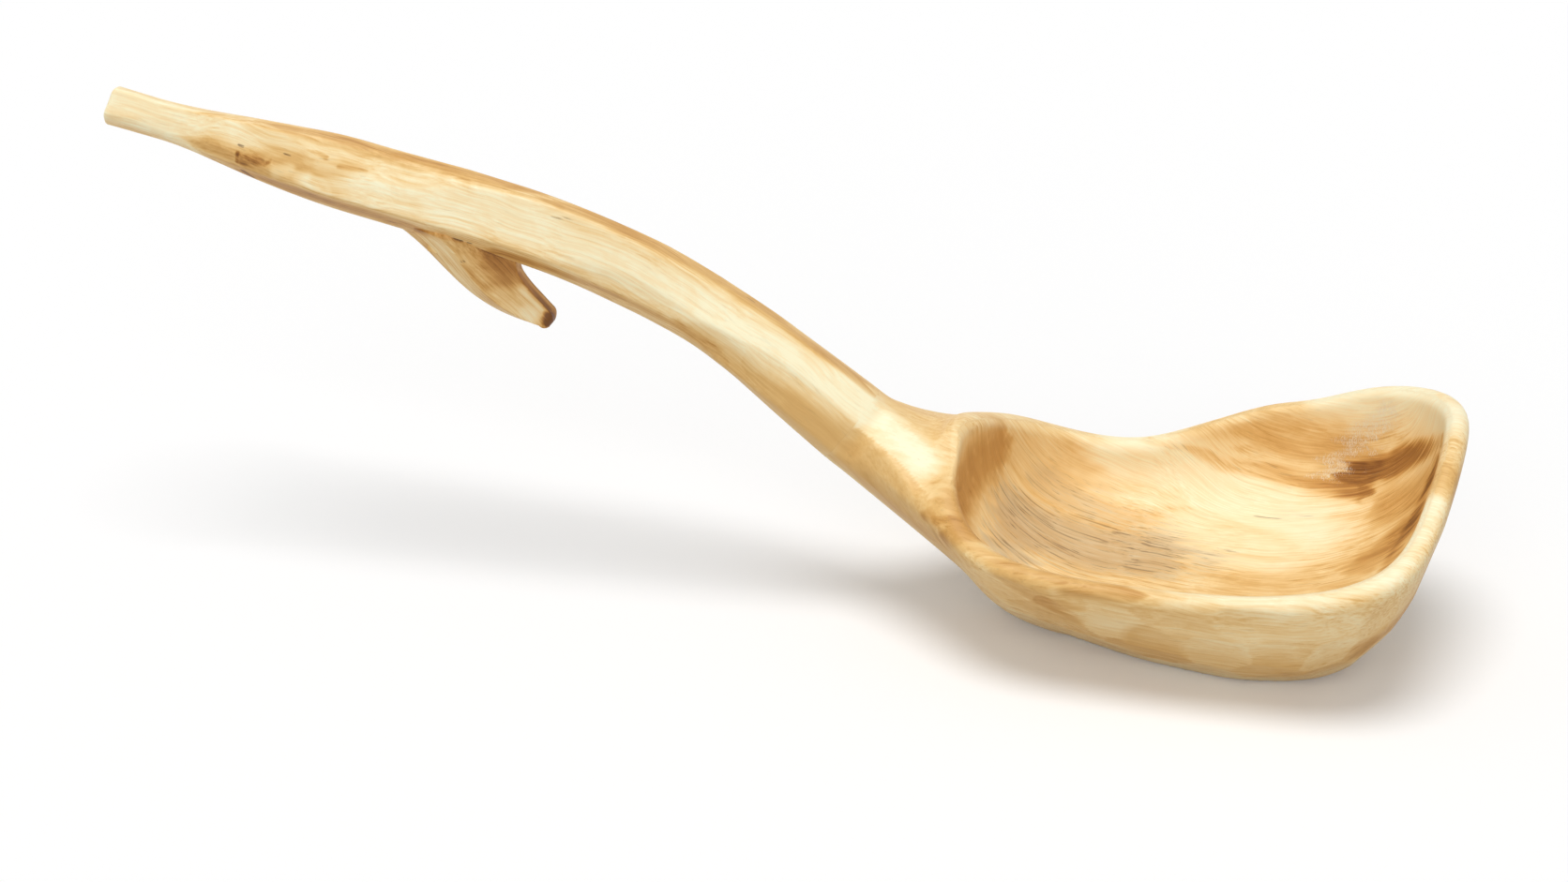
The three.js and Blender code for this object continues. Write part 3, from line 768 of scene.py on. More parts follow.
class Wire:
    def __init__(self, tree, socket=None):
        self.tree = tree
        self.socket = socket

    def node(self, kind, settings=None, inputs=None, out=0):
        # any node: its settings first, then the values or links of its sockets
        made = self.tree.nodes.new("ShaderNode" + kind)
        for name, value in (settings or {}).items():
            if name == "stops":
                while len(made.color_ramp.elements) < len(value):
                    made.color_ramp.elements.new(0.5)
                for stop, (place, colour) in zip(made.color_ramp.elements, value):
                    stop.position = place
                    stop.color = (*colour, 1)
            else:
                setattr(made, name, value)
        for name, value in (inputs or {}).items():
            if isinstance(value, Wire):
                self.tree.links.new(value.socket, made.inputs[name])
            else:
                made.inputs[name].default_value = value
        return Wire(self.tree, made.outputs[out]) if len(made.outputs) else made

    def maths(self, operation, first, second=0.0, clamped=False):
        return self.node("Math", {"operation": operation, "use_clamp": clamped}, {0: first, 1: second})

    def __add__(self, other):
        return self.maths("ADD", self, other)

    def __radd__(self, other):
        return self.maths("ADD", other, self)

    def __sub__(self, other):
        return self.maths("SUBTRACT", self, other)

    def __rsub__(self, other):
        return self.maths("SUBTRACT", other, self)

    def __mul__(self, other):
        return self.maths("MULTIPLY", self, other)

    def __rmul__(self, other):
        return self.maths("MULTIPLY", other, self)

    def step(self, low, high):
        # 0 below low, 1 above high, an S curve between
        return self.node("MapRange", {"interpolation_type": "SMOOTHSTEP"},
                         {0: self, 1: low, 2: high, 3: 0.0, 4: 1.0})

    def most(self, other):
        return self.maths("MAXIMUM", self, other)

    def clear(self):
        return self.maths("ADD", self, 0.0, True)

    def mark(self, name):
        return self.node("Attribute", {"attribute_name": name}, out=2)

    def vector(self, operation, first, second):
        return self.node("VectorMath", {"operation": operation}, {0: first, 1: second})

    def noise(self, place, scale, detail, rough=0.55, bend=0.0):
        stretched = self.vector("MULTIPLY", place, scale)
        return self.node("TexNoise", {}, {"Vector": stretched, "Scale": 1.0, "Detail": detail,
                                          "Roughness": rough, "Distortion": bend})

    def blend(self, share, first, second):
        return self.node("Mix", {"data_type": "RGBA"}, {0: share, 6: first, 7: second}, 2)


def newMaterial(name):
    material = bpy.data.materials.new(name)
    material.use_nodes = True
    tree = material.node_tree
    tree.nodes.clear()
    return material, Wire(tree)


# carved wood, one recipe for the bowl, the handle and the hook

wood = {
    "stops": [(0.0, (0.2, 0.072, 0.011)), (0.2, (0.43, 0.187, 0.038)), (0.38, (0.64, 0.335, 0.09)),
              (0.54, (0.8, 0.495, 0.178)), (0.7, (0.92, 0.66, 0.315)), (0.86, (0.98, 0.8, 0.475)),
              (1.0, (1.0, 0.92, 0.635))],
    "grey": (0.52, 0.365, 0.21), "greyDark": (0.2, 0.11, 0.048), "darkLine": (0.12, 0.045, 0.012),
    "white": (0.96, 0.88, 0.72), "roughness": 0.46, "specular": 0.3, "bump": 0.0003, "bumpStrength": 0.5,
    "drift": 24.0, "driftReach": 0.011,
    # noises: their scale along and across the grain, detail, roughness and bend
    "broad": ((9, 60, 60), 3.0), "streak": ((16, 420, 420), 4.0, 0.6), "fine": ((26, 1400, 1400), 3.0, 0.6),
    "cloud": ((70, 120, 120), 6.0, 0.66, 0.8), "dash": ((110, 1500, 1500), 2.0, 0.5),
    "thread": ((24, 1000, 1000), 3.0, 0.55), "scuff": ((2200, 520, 520), 4.0, 0.7, 2.5),
    # shares of the noises in the figure of the grain, the ragged edges of stains, the bump and the gloss
    "figure": {"broad": 0.3, "streak": 0.42, "cloud": 0.62, "fine": 0.72, "hairs": 0.18},
    "ragged": {"streak": 1.7, "fine": 1.1, "cloud": 0.9},
    "height": {"fine": 0.5, "streak": 0.6, "flecks": 0.6, "lines": 1.2, "chips": 0.5},
    "gloss": {"streak": 0.3, "flecks": 0.2, "core": 0.05},
    # how much each layer covers
    "cover": {"inGrey": 0.6, "threads": 0.6, "flecks": 0.75, "lines": 0.75, "chips": 0.7},
    "paleQuiet": 0.5, "calmQuiet": 0.7,  # how far pale, painted-highlight and calm wood quieten the figure
    # how far each mark shifts the shade
    "paleShade": 0.27, "amberShade": 0.33, "heartShade": 0.58, "facetShade": 0.2, "wornRidgesAndCreaseShadeShare": 0.1,
    # the general shade of each piece
    "bowlTone": 0.67, "handleTone": 0.67, "hookTone": 0.56,
}


def carvedWood(name, tone):
    material, wire = newMaterial(name)
    fibre = wire.node("Attribute", {"attribute_name": "fibre"}, out=1)
    drift = wire.node("TexNoise", {}, {"Vector": fibre, "Scale": wood["drift"], "Detail": 2.0}, 1)
    drift = wire.vector("SUBTRACT", drift, (0.5, 0.5, 0.5))
    drift = wire.vector("MULTIPLY", drift, (0.0, wood["driftReach"], wood["driftReach"]))
    grain = wire.vector("ADD", fibre, drift)
    broad, streak, fine = [wire.noise(grain, *wood[kind]) - 0.5 for kind in ("broad", "streak", "fine")]
    cloud = wire.noise(fibre, *wood["cloud"]) - 0.5
    dash, thread = [wire.noise(grain, *wood[kind]) for kind in ("dash", "thread")]
    scuff = wire.noise(fibre, *wood["scuff"]) - 0.5
    pale, amber, heart, spalt = [wire.mark(kind) for kind in ("pale", "amber", "heart", "spalt")]
    dark, white, calm = [wire.mark(kind) for kind in ("dark", "white", "calm")]
    worn, facet = wire.mark("worn"), wire.mark("facet")
    # stains with ragged edges, some of them painted shade, and the figure of the grain, quieter on pale,
    # painted-highlight and calm wood
    part = wood["ragged"]
    ragged = streak * part["streak"] + fine * part["fine"] + cloud * part["cloud"]
    darker = (amber * 0.9 + ragged * 0.6).step(0.0, 1.0) * amber.step(0.0, 0.45)
    core = (heart + ragged * 0.75).step(0.2, 0.95) * heart.step(0.0, 0.3)
    hairs = thread.step(0.55, 0.67) * (0.6 + cloud * 2.0).clear()
    part = wood["figure"]
    figure = broad * part["broad"] + streak * part["streak"] + cloud * part["cloud"] + fine * part["fine"]
    figure = figure - hairs * part["hairs"]
    quiet = (pale * wood["paleQuiet"]).most(calm * wood["calmQuiet"])
    # facet adds painted light and shade by the way each facet faces, and the knife strokes' own tones
    shade = tone + figure * (1.0 - quiet) + facet * wood["facetShade"]
    shade = shade + pale * wood["paleShade"] - darker * wood["amberShade"] - core * wood["heartShade"]
    # ridges lighter, for wear and a painted highlight, and creases darker, a painted shade
    shade = shade + worn * wood["wornRidgesAndCreaseShadeShare"]
    colour = wire.node("ValToRGB", {"stops": wood["stops"]}, {0: shade.clear()})
    # grey fungus stain with dark threads, short flecks, pits and cracks, and scuffed white chips, partly a
    # painted highlight
    inGrey = (spalt + ragged * 0.7).step(0.15, 1.0) * spalt.step(0.0, 0.4)
    threads = (thread + (spalt - 1) * 0.12).step(0.5, 0.68) * spalt.step(0.05, 0.7)
    flecks = dash.step(0.6, 0.72) * (spalt * 0.9 + heart * 0.5 + amber * 0.05 + 0.1 + cloud * 0.5).clear()
    lines = (dark + (thread - 0.5) * 2.2 + fine * 1.6 - 0.55).step(0.0, 0.5) * dark.step(0.05, 0.5)
    chips = (white + scuff * 4.5 - 0.72).step(0.0, 0.35) * white.step(0.02, 0.4)
    part = wood["cover"]
    layers = ((inGrey * part["inGrey"], "grey"), (threads * part["threads"], "greyDark"),
              (flecks * part["flecks"], "greyDark"), (lines * part["lines"], "darkLine"),
              (chips * part["chips"], "white"))
    for share, paint in layers:
        colour = wire.blend(share, colour, (*wood[paint], 1))
    part = wood["height"]
    height = fine * part["fine"] + streak * part["streak"] - flecks * part["flecks"] - lines * part["lines"]
    height = height + chips * part["chips"]
    relief = wire.node("Bump", {}, {"Strength": wood["bumpStrength"], "Distance": wood["bump"],
                                    "Height": height})
    part = wood["gloss"]
    roughness = wood["roughness"] + streak * part["streak"] + flecks * part["flecks"] - core * part["core"]
    shader = wire.node("BsdfPrincipled", {}, {"Base Color": colour, "Roughness": roughness, "Normal": relief,
                                              "Specular IOR Level": wood["specular"]})
    wire.node("OutputMaterial", {}, {"Surface": shader})
    return material


# marks on the wood, some of them painted light and shade: strokes through places on the surface, each with a
# reach and a strength

marks = {
    # heartwood and knots, and painted shade along the hollow's edge at the neck end and down the hook's throat
    "heart": [
        ([(-20, 43.5, 36), (-4, 42, 34), (13, 41.8, 31), (29, 39, 29.3),
          (46, 34.5, 30)], (2.5, 6), (0.4, 0.75)),
        ([(43, 37, 33), (52, 36, 38), (58, 33.5, 44)], (9, 6), (0.95, 0.8)),
        ([(55, 35, 41), (60, 32, 46), (65, 21, 55)], (7, 5), (0.8, 0.6)),
        ([(26, 41, 32), (45, 37, 34)], (5, 9), (0.2, 0.5)),
        ([(56, -8, 29), (59, 3, 33), (62, 14, 39), (65, 21, 48)], (7, 6), (0.5, 0.6)),
        # painted shade along the hollow's edge at the neck end
        ([(-58, -4, 38), (-53, -30, 38), (-46, -39, 34)], 7, (0.3, 0.2)),
        ([(-264.9, -6.4, 114.6), (-265.2, -6, 112.2), (-263.4, -5.4, 110.5), (-259.9, -6.3, 110.9),
          (-256.6, -7.1, 112.3), (-254.9, -6.8, 113.8)], (1.5, 1.3), (0.8, 0.55)),
        ([(-263.4, -6.5, 112.8), (-258, -6.6, 113.2)], 3.4, (0.62, 0.45)),
        ([(-264.4, -4.6, 109.6), (-261.8, -3.3, 106.9)], 1.6, (0.6, 0.4)),
        ([(-246, -5.6, 117.2), (-242.7, -5.6, 116.9), (-238.8, -5.8, 115.7)], (1.2, 1.6), (0.4, 0.6)),
        ([(-234.9, -6.3, 113.5), (-227, -6.1, 112.8)], (1.6, 1.2), (0.45, 0.3)),
        # painted shade down the hook's throat
        ([(-185, -1, 85), (-181, -1, 79.5), (-177.5, -1, 75.5)], 2.4, 0.5),
        ([(-177, -2.6, 73), (-175.5, -2, 71.5)], 3.6, 0.9),
    ],
    "spalt": [
        ([(-46, 8, 21), (-37, 12, 17), (-24, 12, 14.5), (-9, 14, 14)], 20, 1.0),
        ([(-45, 29, 23), (-31, 30, 19), (-9, 23, 15.5), (6, 12, 14)], 14, 0.5),
        ([(-46, 6, 22), (-44, -14, 21), (-26, -24, 18), (-8, -26, 16.5)], 14, (0.8, 0.4)),
    ],
    "calm": [
        ([(-96, 0, 54), (-80, -8, 47), (-66, -14, 42)], 30, 1.0),
        ([(-45, -42, 22), (17, -42, 18), (60, -32, 22)], 22, 0.6),
        ([(-56, 22, 38), (-57, -6, 35), (-51, -30, 36)], 15, 1.0),
        ([(-70, 14, 40), (-52, 38, 28), (-30, 44, 20)], 24, 0.9),
        ([(60, 30, 50), (66, 15, 52), (66, -5, 45)], 14, 0.9),
    ],
    # pale wood, and painted highlights on faces turned to the light: the hollow's far wall and floor, the near
    # rim, the neck's planed facet, the handle's front face and the hook's tip facet
    "pale": [
        ([(-21, 41, 32), (-5, 41, 28.5), (6, 38, 25), (20, 34, 22.5), (34, 26, 21.5)], 17, 1.0),
        ([(0, 24, 17), (26, 16, 16)], 16, 0.75),
        ([(34, 45, 53), (50, 40.5, 57), (60, 32, 58), (67, 20, 61)], 13, 1.0),
        ([(-84, -4, 57.5), (-76, -9, 52), (-68, -13, 49)], 9, 1.0),
        ([(6, -44.5, 34.5), (41, -43, 36.5), (58, -36, 41), (67, -13, 52)], 6, 0.75),
        ([(-304, -3, 125), (-286, -4, 122), (-281, -4, 120)], 10, 0.7),
        ([(-268, -3, 119), (-240, -6, 117)], 6, 0.3),
        ([(-226, -8, 110), (-203, -8, 106), (-160, -9, 96), (-129, -9, 82), (-105, -7, 69),
          (-84, -5, 57)], 9, (0.5, 0.9)), ([(-183, -4, 75), (-178.5, -4, 73)], 3, 0.6),
        ([(-205, -6, 94), (-197, -6, 84)], 5, 0.4), ([(-253, -7.4, 111), (-249, -7.4, 111.8)], 3, 0.9),
        ([(-247, -7.6, 110.6), (-244, -7.6, 110.4)], 2.4, 0.8),
    ],
    # amber wood, and painted shade: on the inner wall at the neck end, low on the outer wall at the right, and
    # on the hook's facet under the handle
    "amber": [
        # painted shade on the inner wall at the neck end
        ([(-53, -30, 38), (-57, -12, 38), (-57, 4, 40), (-55, 16, 40)], 13, (1.0, 0.9)),
        ([(-45, 29, 23), (-31, 38, 26)], 10, 0.3),
        ([(-39, -41, 34.6), (-33, -44, 29), (-25, -40, 21)], 10, 0.6),
        ([(50, 3, 25), (60, 9, 34), (68, -2, 50)], 12, 0.85), ([(54, 26, 31), (61, 20, 41)], 11, 0.8),
        ([(17, 4, 15), (33, 2, 18), (44, -6, 21.5)], 13, 0.4), ([(-8, 44, 39), (12, 45, 40)], 6, 0.4),
        ([(12, 45, 40), (30, 43, 38), (45, 40, 39)], 9, 0.55), ([(18, 46, 45), (38, 44, 47)], 7, 0.4),
        ([(-45, -40, 22), (-20, -38, 12), (17, -37, 10), (41, -33, 10), (57, -28, 20)], 11, 0.4),
        ([(-62, -26, 40), (-50, -37, 34), (-30, -43, 33)], 5, 0.5), ([(-30, -43, 33), (-8, -45, 32)], 5, 0.7),
        # painted shade low on the outer wall at the right
        ([(56, -30, 16), (64, -20, 28), (68, -4, 36), (71, 8, 44)], 12, 0.8),
        ([(-276, -5, 117), (-266, -6, 113), (-257, -6.5, 113.5), (-248, -6.4, 113.5)], (6, 8), (0.5, 0.9)),
        ([(-246, -6.5, 114), (-228, -6, 113)], (6, 4), (0.7, 0.4)),
        ([(-252, -2, 121), (-225, -1, 118), (-183, 0, 110)], 5, 0.6),
        ([(-172, -2, 106), (-145, -1, 97), (-120, 1, 83), (-105, 0, 76), (-88, 2, 62)], 6, 0.55),
        ([(-264, -4, 109), (-240, -6, 105), (-212, -6, 98)], 5, 0.8),
        ([(-190, -6, 93), (-160, -5.5, 87), (-133, -6, 76)], 4, 0.8),
        # after this stroke down the neck's lower side, a painted shade on the hook's facet under the handle
        ([(-133, -8, 75), (-117, -9, 65), (-104, -9, 56), (-92, -9, 47), (-76, -13, 35),
          (-62, -24, 28)], 9, 0.35), ([(-192, -4.5, 91), (-189, -4, 87), (-187.5, -4, 82)], 6, (0.9, 0.3)),
        ([(-178, -2, 72), (-176, -2, 71)], 5, 0.8),
    ],
    "dark": [
        ([(18, 32, 21), (33, 31, 23)], 3, 0.5), ([(-9, 23, 15.5), (15, 18, 15.4)], 3, 0.4),
        ([(70, 13, 57), (71, 7, 58)], 2, 0.6), ([(-264.6, -5.8, 116.9), (-263.4, -5.9, 116.5)], 1.2, 0.8),
        ([(-250.8, -6.2, 115.7), (-249.4, -6.2, 115.4)], 1.2, 0.8),
        ([(-174, -5.4, 104.1), (-168, -4.5, 104)], 1.4, 0.8),
        ([(-121, 0.5, 83.6), (-119, 0.5, 82.7)], 1.3, 0.8),
        ([(-178, -7.6, 95), (-176.5, -7.7, 93.6), (-175, -7.7, 93.2)], 1.1, 0.9),
        ([(-202.2, -6.4, 95.8), (-200.2, -6.3, 95.4)], 1.3, 1.0),
        ([(-198.2, -6, 95.1), (-197.4, -6, 95)], 1.2, 1.0),
        ([(-209.5, -5.8, 97), (-208.7, -5.8, 96.8)], 1.1, 0.9),
        ([(-201, -5.7, 89), (-200.4, -5.7, 88.7)], 1.0, 1.0),
    ],
    # white scuffs on the inner lip, partly a painted highlight
    "white": [
        ([(37, 41, 34), (41, 41.5, 39.5), (46, 41, 46), (50, 40.7, 52)], 8, 0.8),
    ],
}


def nearStroke(points, path):
    # the distance to the nearest of a stroke's straight parts, and how far along the stroke that is, 0 to 1
    lengths = np.linalg.norm(np.diff(path, axis=0), axis=1)
    starts = np.concatenate([[0], np.cumsum(lengths)])
    nearest, travelled = np.full(len(points), 1e9), np.zeros(len(points))
    for start, end, before, length in zip(path[:-1], path[1:], starts, lengths):
        share = np.clip((points - start) @ (end - start) / length ** 2, 0, 1)
        away = np.linalg.norm(points - start - share[:, None] * (end - start), axis=1)
        travelled = np.where(away < nearest, before + share * length, travelled)
        nearest = np.minimum(nearest, away)
    return nearest, travelled / starts[-1]


stain = {
    # a stain creeps along each bundle of fibres: by how many waves across the grain, how long and how far
    "waves": 10, "waveLengths": (1.6, 7), "waveSlant": 0.02, "creep": 0.8,
    "spread": 0.4, "spreadWaves": ((7.3, 3.1), (4.1, 2.3)),  # and its drift across the grain
    # small marks do not creep, nor those on the end wall, across the grain
    "creepFrom": 4, "creepEnd": (44, 58),
    "core": 0.2, "sharpAngle": 48, "ridgeGain": 4, "ridgeRounds": 4,
}


def feathered(place):
    # creep along the grain is a sum of waves across it, each with its own turn and length
    dice = np.random.default_rng(3)
    creep = np.zeros(len(place))
    for wave in range(stain["waves"]):
        turn, length = dice.uniform(0, pi), dice.uniform(*stain["waveLengths"])
        across = place[:, 1] * np.cos(turn) + place[:, 2] * np.sin(turn)
        start, slant = dice.uniform(0, 2 * pi), dice.uniform(-stain["waveSlant"], stain["waveSlant"])
        creep += np.sin(2 * pi * across / length + start + place[:, 0] * slant)
    (along, across), (onward, upward) = stain["spreadWaves"]
    x, y, z = place.T
    spread = stain["spread"] * (np.sin(x / along + y / across) + np.sin(x / onward - z / upward + 1))
    return place + np.stack([stain["creep"] * creep, spread, spread], -1)


def worn(mesh, points):
    # above 0 on ridges, lighter for rubbed wear and a painted highlight, below 0 in creases, a painted shade:
    # how far a point stands out from its neighbours
    around = Neighbours(mesh)
    spread = around.edgeMean(np.linalg.norm(points[around.a] - points[around.b], axis=1))
    near = np.stack([around.mean(points[:, side]) for side in range(3)], -1)
    value = stain["ridgeGain"] * np.sum((points - near) * normalsOf(mesh), axis=1) / spread ** 2
    for turn in range(stain["ridgeRounds"]):
        value = around.mean(value)
    return np.clip(value, -1, 1)


def hookFibre(points):
    # the hook's fibres run down its length, from the root towards the tip
    way = unit(towardsBowl - hookUp * hook["grainDrop"])
    away = points - hookRoot
    above = away @ np.cross(way, np.array([0.0, 1.0, 0.0]))
    return np.stack([away @ way + hook["grainStart"], points[:, 1], above], -1)


def strokeTones(points, middles, ways, depths, window):
    # each knife stroke has its own shade: 1 or -1 at most, on the points that lie in its flat
    shades = np.random.default_rng(5).uniform(-1, 1, len(middles))
    value, best = np.zeros(len(points)), np.zeros(len(points))
    for middle, way, depth, shade in zip(middles, ways, depths, shades):
        away = points - middle
        close = np.linalg.norm(away, axis=1) < bowl["shadeEdge"] * window
        inFlat = np.exp(-((away @ way + depth) / bowl["shadeDepth"]) ** 2) * close
        value, best = np.where(inFlat > best, shade * inFlat, value), np.maximum(best, inFlat)
    return value


def carriedOver(points, rings, shades, reach):
    # each point takes the shade of the nearest place on the rings; no shade where that is too far off
    tree = KDTree(shades.size)
    for index, place in enumerate(rings.reshape(-1, 3)):
        tree.insert(place, index)
    tree.balance()
    found = [tree.find(point) for point in points]
    nearest = np.array([index for place, index, away in found])
    away = np.array([away for place, index, away in found])
    return np.where(away < reach, shades.ravel()[nearest], 0)


def bowlTones(points):
    # the wall's knife strokes, each with its own tone, and on the neck the painted shades of the handle's
    # facets, divided by the same ridge
    value = bowl["cutShade"] * strokeTones(points, *bowlCuts, bowl["cutWindow"])
    rings = neckRings()[4:-4]  # without the rings inside the handle and the wall
    count, sides = rings.shape[:2]
    share, angle = np.meshgrid(np.linspace(0, 1, count), np.linspace(0, 2 * pi, sides, endpoint=False),
                               indexing="ij")
    ridge = np.radians(np.interp(share, bowl["ridgeShares"], bowl["ridgePlaces"]))
    top, front, lower = handle["paintedFaceShades"][1:4]
    topStart, topEnd = np.radians(bowl["topShade"])
    shade = np.where(angle > ridge, lower, front) * (1 - smoothStep(share, *bowl["neckFade"]))
    shade = shade * (angle < radians(bowl["lowerShadeEnd"]))
    shade = np.where(angle < topEnd, top, shade) * (angle > topStart)
    onNeck = points[:, 0] < bowl["neckFront"]
    value[onNeck] += carriedOver(points[onNeck], rings, shade, bowl["shadeReach"])
    return value


def hookPaintedFacetLight(points):
    # the painted shade of the facet that each place lies on; the scooped one carries painted shade down to the
    # painted light of the facet at the tip
    rings = hookRings()
    count, sides = rings.shape[:2]
    share = np.clip((np.arange(count) - len(hook["deeper"])) / (hook["along"] - 1), 0, 1)
    share, turn = np.meshgrid(share, np.linspace(0, 2 * pi, sides, endpoint=False), indexing="ij")
    shade = facetShade(turn, hookFacets(share))
    onScoop = shade == hook["paintedFaceShades"][scoopedFacet]
    paler = between(shade, hook["tipShade"], smoothStep(share, *hook["tipShadeStart"]))
    return carriedOver(points, rings, np.where(onScoop, paler, shade), hook["shadeReach"])


def handleTones(points):
    # the facet's painted shade, half covered by the random tone of each knife stroke that cut deeper there
    along, across, above = straightened(points).T
    angle = np.arctan2(above, across)
    value = facetShade(angle, handleFacets(along))
    shades = np.random.default_rng(8).uniform(-handle["cutShade"], handle["cutShade"], len(cutPlaces))
    deepest = facetedRadius(np.clip(along, 0, handleLength), angle)
    for stroke, (facing, shade) in enumerate(zip(cutFacings, shades)):
        reach = strokeReach(along, stroke) / np.maximum(1e-3, np.cos(angle - facing))
        value = np.where(reach < deepest, between(value, shade, handle["cutCover"]), value)
        deepest = np.minimum(reach, deepest)
    return value


def unrolled(points):
    # the hollow laid flat: along its middle line, and out from that over the floor and up the walls
    x, y, z = points.T
    climb = np.linspace(0, pi / 2, 200)
    middle = np.concatenate([innerWall(0 * climb + pi, climb)[::-1], innerWall(0 * climb, climb)[1:]])
    travelled = np.concatenate([[0], np.cumsum(np.linalg.norm(np.diff(middle, axis=0), axis=1))])
    height = z - np.interp(x, middle[:, 0], middle[:, 2])
    farWall = smoothStep(y, *bowl["farSide"]) * smoothStep(x, *bowl["farRun"])
    lean = run["grainSlant"] + bowl["farSlant"] * farWall  # more across the bowl on the far wall
    upWall = np.sign(y) * height * smoothStep(np.abs(y), *bowl["wallStart"])
    across = y + upWall + lean * (x - run["slantStart"])
    return np.stack([np.interp(x, middle[:, 0], travelled), across, 0 * x], -1)


def bowlFibre(points):
    # in the hollow the grain follows the surface, elsewhere the run of the ladle
    inward = unit(np.array(bowl["hollowMiddle"]) - points)
    facing = np.sum(normalsOf(bowlPiece.data) * inward, axis=1)
    inside = (facing > bowl["hollowFacing"]) & (points[:, 0] > bowl["hollowBack"])
    return np.where(inside[:, None], unrolled(points), straightened(points))


def asItLies(points):
    return points


def dress(piece, material, fibre, drawing, tones):
    # fibre: where a point lies along the grain; drawing: the space in which the marks' strokes are measured
    points = pointsOf(piece)
    mesh = piece.data
    grain = mesh.attributes.new("fibre", "FLOAT_VECTOR", "POINT")
    grain.data.foreach_set("vector", (fibre(points) * mm).ravel())
    drawn = drawing(points)
    crept = drawn if piece is hookPiece else feathered(drawn)
    crept = between(crept, drawn, smoothStep(points[:, :1], *stain["creepEnd"]))
    values = {"worn": worn(mesh, points), "facet": tones(points)}
    for name, strokes in marks.items():
        value = np.zeros(len(points))
        for path, reach, strength in strokes:
            space = crept if np.max(reach) > stain["creepFrom"] else drawn
            away, share = nearStroke(space, drawing(np.array(path, float)))
            edge, depth = [between(*np.broadcast_to(pair, 2), share) for pair in (reach, strength)]
            value = np.maximum(value, depth * (1 - smoothStep(away / edge, stain["core"], 1)))
        values[name] = value
    for name, value in values.items():
        mesh.attributes.new(name, "FLOAT", "POINT").data.foreach_set("value", value)
    mesh.shade_smooth()
    mesh.set_sharp_from_angle(angle=radians(stain["sharpAngle"]))
    mesh.materials.clear()
    mesh.materials.append(material)


bowlWood = carvedWood("bowl_wood_carved", wood["bowlTone"])
handleWood = carvedWood("handle_wood_carved", wood["handleTone"])
hookWood = carvedWood("hook_wood_carved", wood["hookTone"])
dress(bowlPiece, bowlWood, bowlFibre, asItLies, bowlTones)
dress(handlePiece, handleWood, straightened, straightened, handleTones)
dress(hookPiece, hookWood, hookFibre, hookFibre, hookPaintedFacetLight)
print("wood finished")


# the hidden wedges: split wood, rougher and a little darker

split = {
    "stops": [(0.3, (0.42, 0.24, 0.09)), (0.7, (0.70, 0.48, 0.22))], "roughness": 0.62,
    "roughSpread": 0.2, "bump": 0.0002, "bumpStrength": 0.5,
    "streak": ((160, 900, 900), 4.0), "fine": ((500, 3200, 3200), 2.0), "streakShare": 0.8, "fineShare": 0.2,
}


def splitWood(name):
    material, wire = newMaterial(name)
    place = wire.node("TexCoord", out=3)
    streak, fine = wire.noise(place, *split["streak"]), wire.noise(place, *split["fine"])
    figure = streak * split["streakShare"] + fine * split["fineShare"]
    colour = wire.node("ValToRGB", {"stops": split["stops"]}, {0: figure})
    relief = wire.node("Bump", {}, {"Strength": split["bumpStrength"], "Distance": split["bump"],
                                    "Height": streak + fine})
    roughness = split["roughness"] + streak * split["roughSpread"]
    shader = wire.node("BsdfPrincipled", {}, {"Base Color": colour, "Roughness": roughness, "Normal": relief})
    wire.node("OutputMaterial", {}, {"Surface": shader})
    return material


wedgeWood = splitWood("wedge_wood_split")
for name in ("neck_wedge", "hook_wedge"):
    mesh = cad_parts[name].data
    mesh.materials.clear()
    mesh.materials.append(wedgeWood)

for piece, node, slot in ((bowlPiece, "bowl", "bowl_wood"), (handlePiece, "handle", "handle_wood"),
                          (hookPiece, "pot_hook", "hook_wood")):
    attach(piece, "root")
    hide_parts(node)


# white table and soft studio light

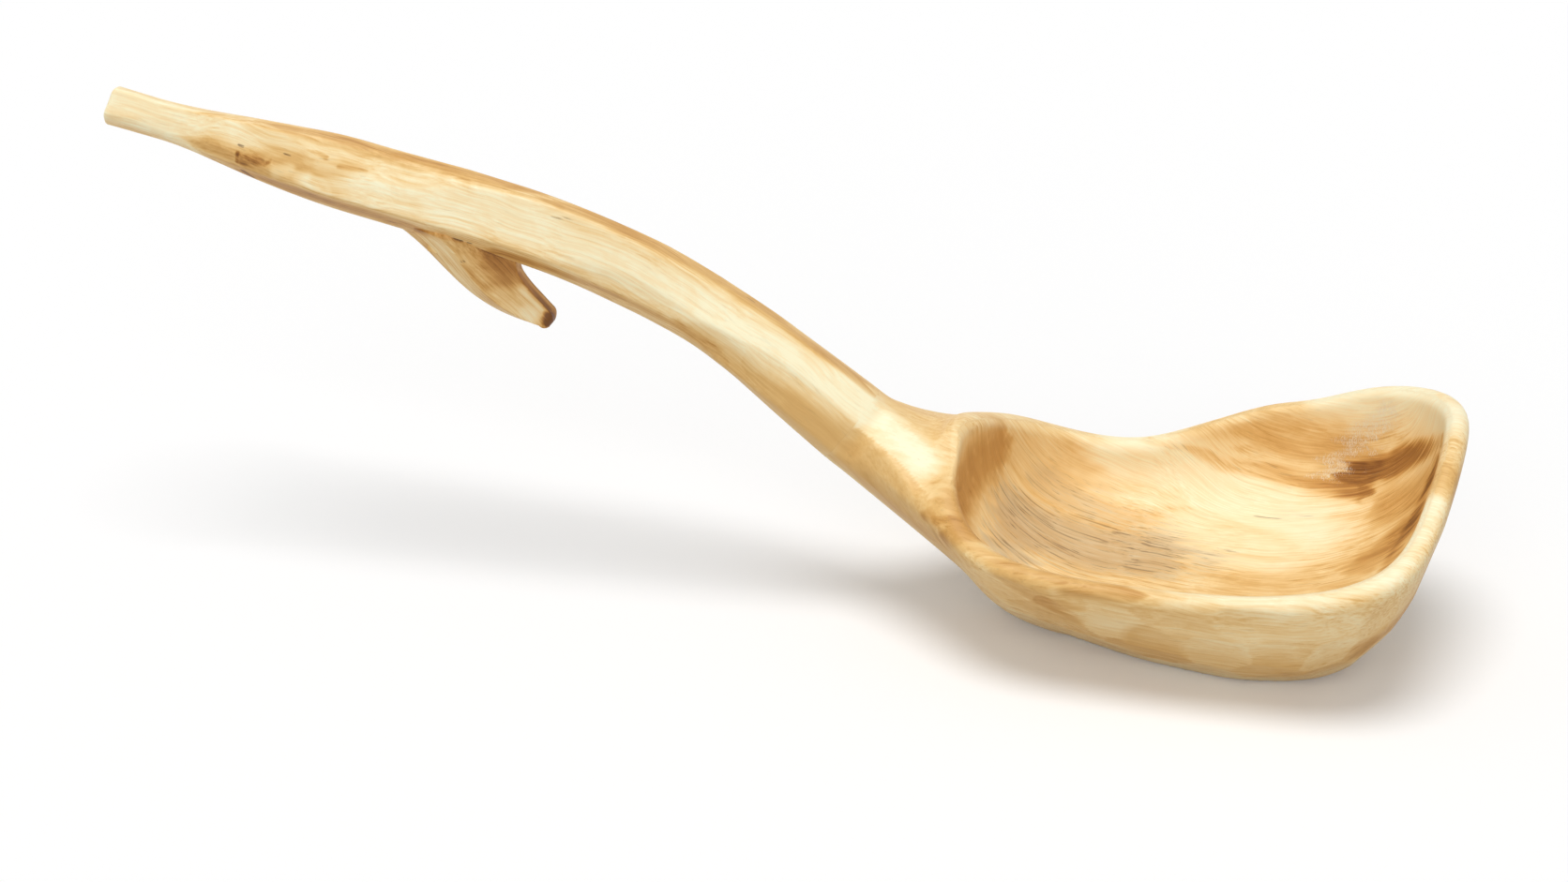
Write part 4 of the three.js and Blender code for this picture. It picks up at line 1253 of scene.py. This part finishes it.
studio = {
    "sky": 0.36, "table": (1.0, 1.0, 1.0), "tableSize": 6.0, "tableBelow": 0.0002,
    "tableBounce": 0.6, "tableGlow": 0.1,  # the table gives back less light than it shows
    # each lamp's strength, how wide it is and the way it is turned
    "soft_key": (1.7, 32, (5, -3, -6)), "front_fill": (0.84, 60, (68, 0, 5)),
}

corners = np.array([(-1.0, -1.0, 0.0), (1.0, -1.0, 0.0), (1.0, 1.0, 0.0), (-1.0, 1.0, 0.0)])
tablePoints = corners * studio["tableSize"] - np.array([0.0, 0.0, studio["tableBelow"]])
table = pieceFrom("white_table", tablePoints / mm, [[0, 1, 2, 3]])
tableWhite, wire = newMaterial("white_table")


def seen(wire):
    # 1 for what the camera sees, straight, in a gloss or through glass
    names = ("Is Camera Ray", "Is Glossy Ray", "Is Transmission Ray")
    straight, gloss, through = [wire.node("LightPath", out=name) for name in names]
    return straight.most(gloss).most(through)


shown = wire.blend(seen(wire), (studio["tableBounce"],) * 3 + (1,), (*studio["table"], 1))
matt = wire.node("BsdfDiffuse", {}, {"Color": shown})
glow = wire.node("Emission", {}, {"Color": (1, 1, 1, 1), "Strength": 1.0})
mixed = wire.node("MixShader", {}, {0: seen(wire) * studio["tableGlow"], 1: matt, 2: glow})
wire.node("OutputMaterial", {}, {"Surface": mixed})
table.data.materials.append(tableWhite)

world = bpy.data.worlds.new("studio")
world.use_nodes = True
world.node_tree.nodes.clear()
wire = Wire(world.node_tree)
sky = wire.node("Background", {}, {"Color": (1, 1, 1, 1), "Strength": studio["sky"]})
white = wire.node("Background", {}, {"Color": (1, 1, 1, 1), "Strength": 1.0})
both = wire.node("MixShader", {}, {0: seen(wire), 1: sky, 2: white})
wire.node("OutputWorld", {}, {"Surface": both})
scene.world = world

for name in ("soft_key", "front_fill"):
    strength, width, turned = studio[name]
    lampData = bpy.data.lights.new(name, "SUN")
    lampData.energy = strength
    lampData.angle = radians(width)
    lamp = bpy.data.objects.new(name, lampData)
    lamp.rotation_euler = [radians(angle) for angle in turned]
    scene.collection.objects.link(lamp)
print("studio lit")
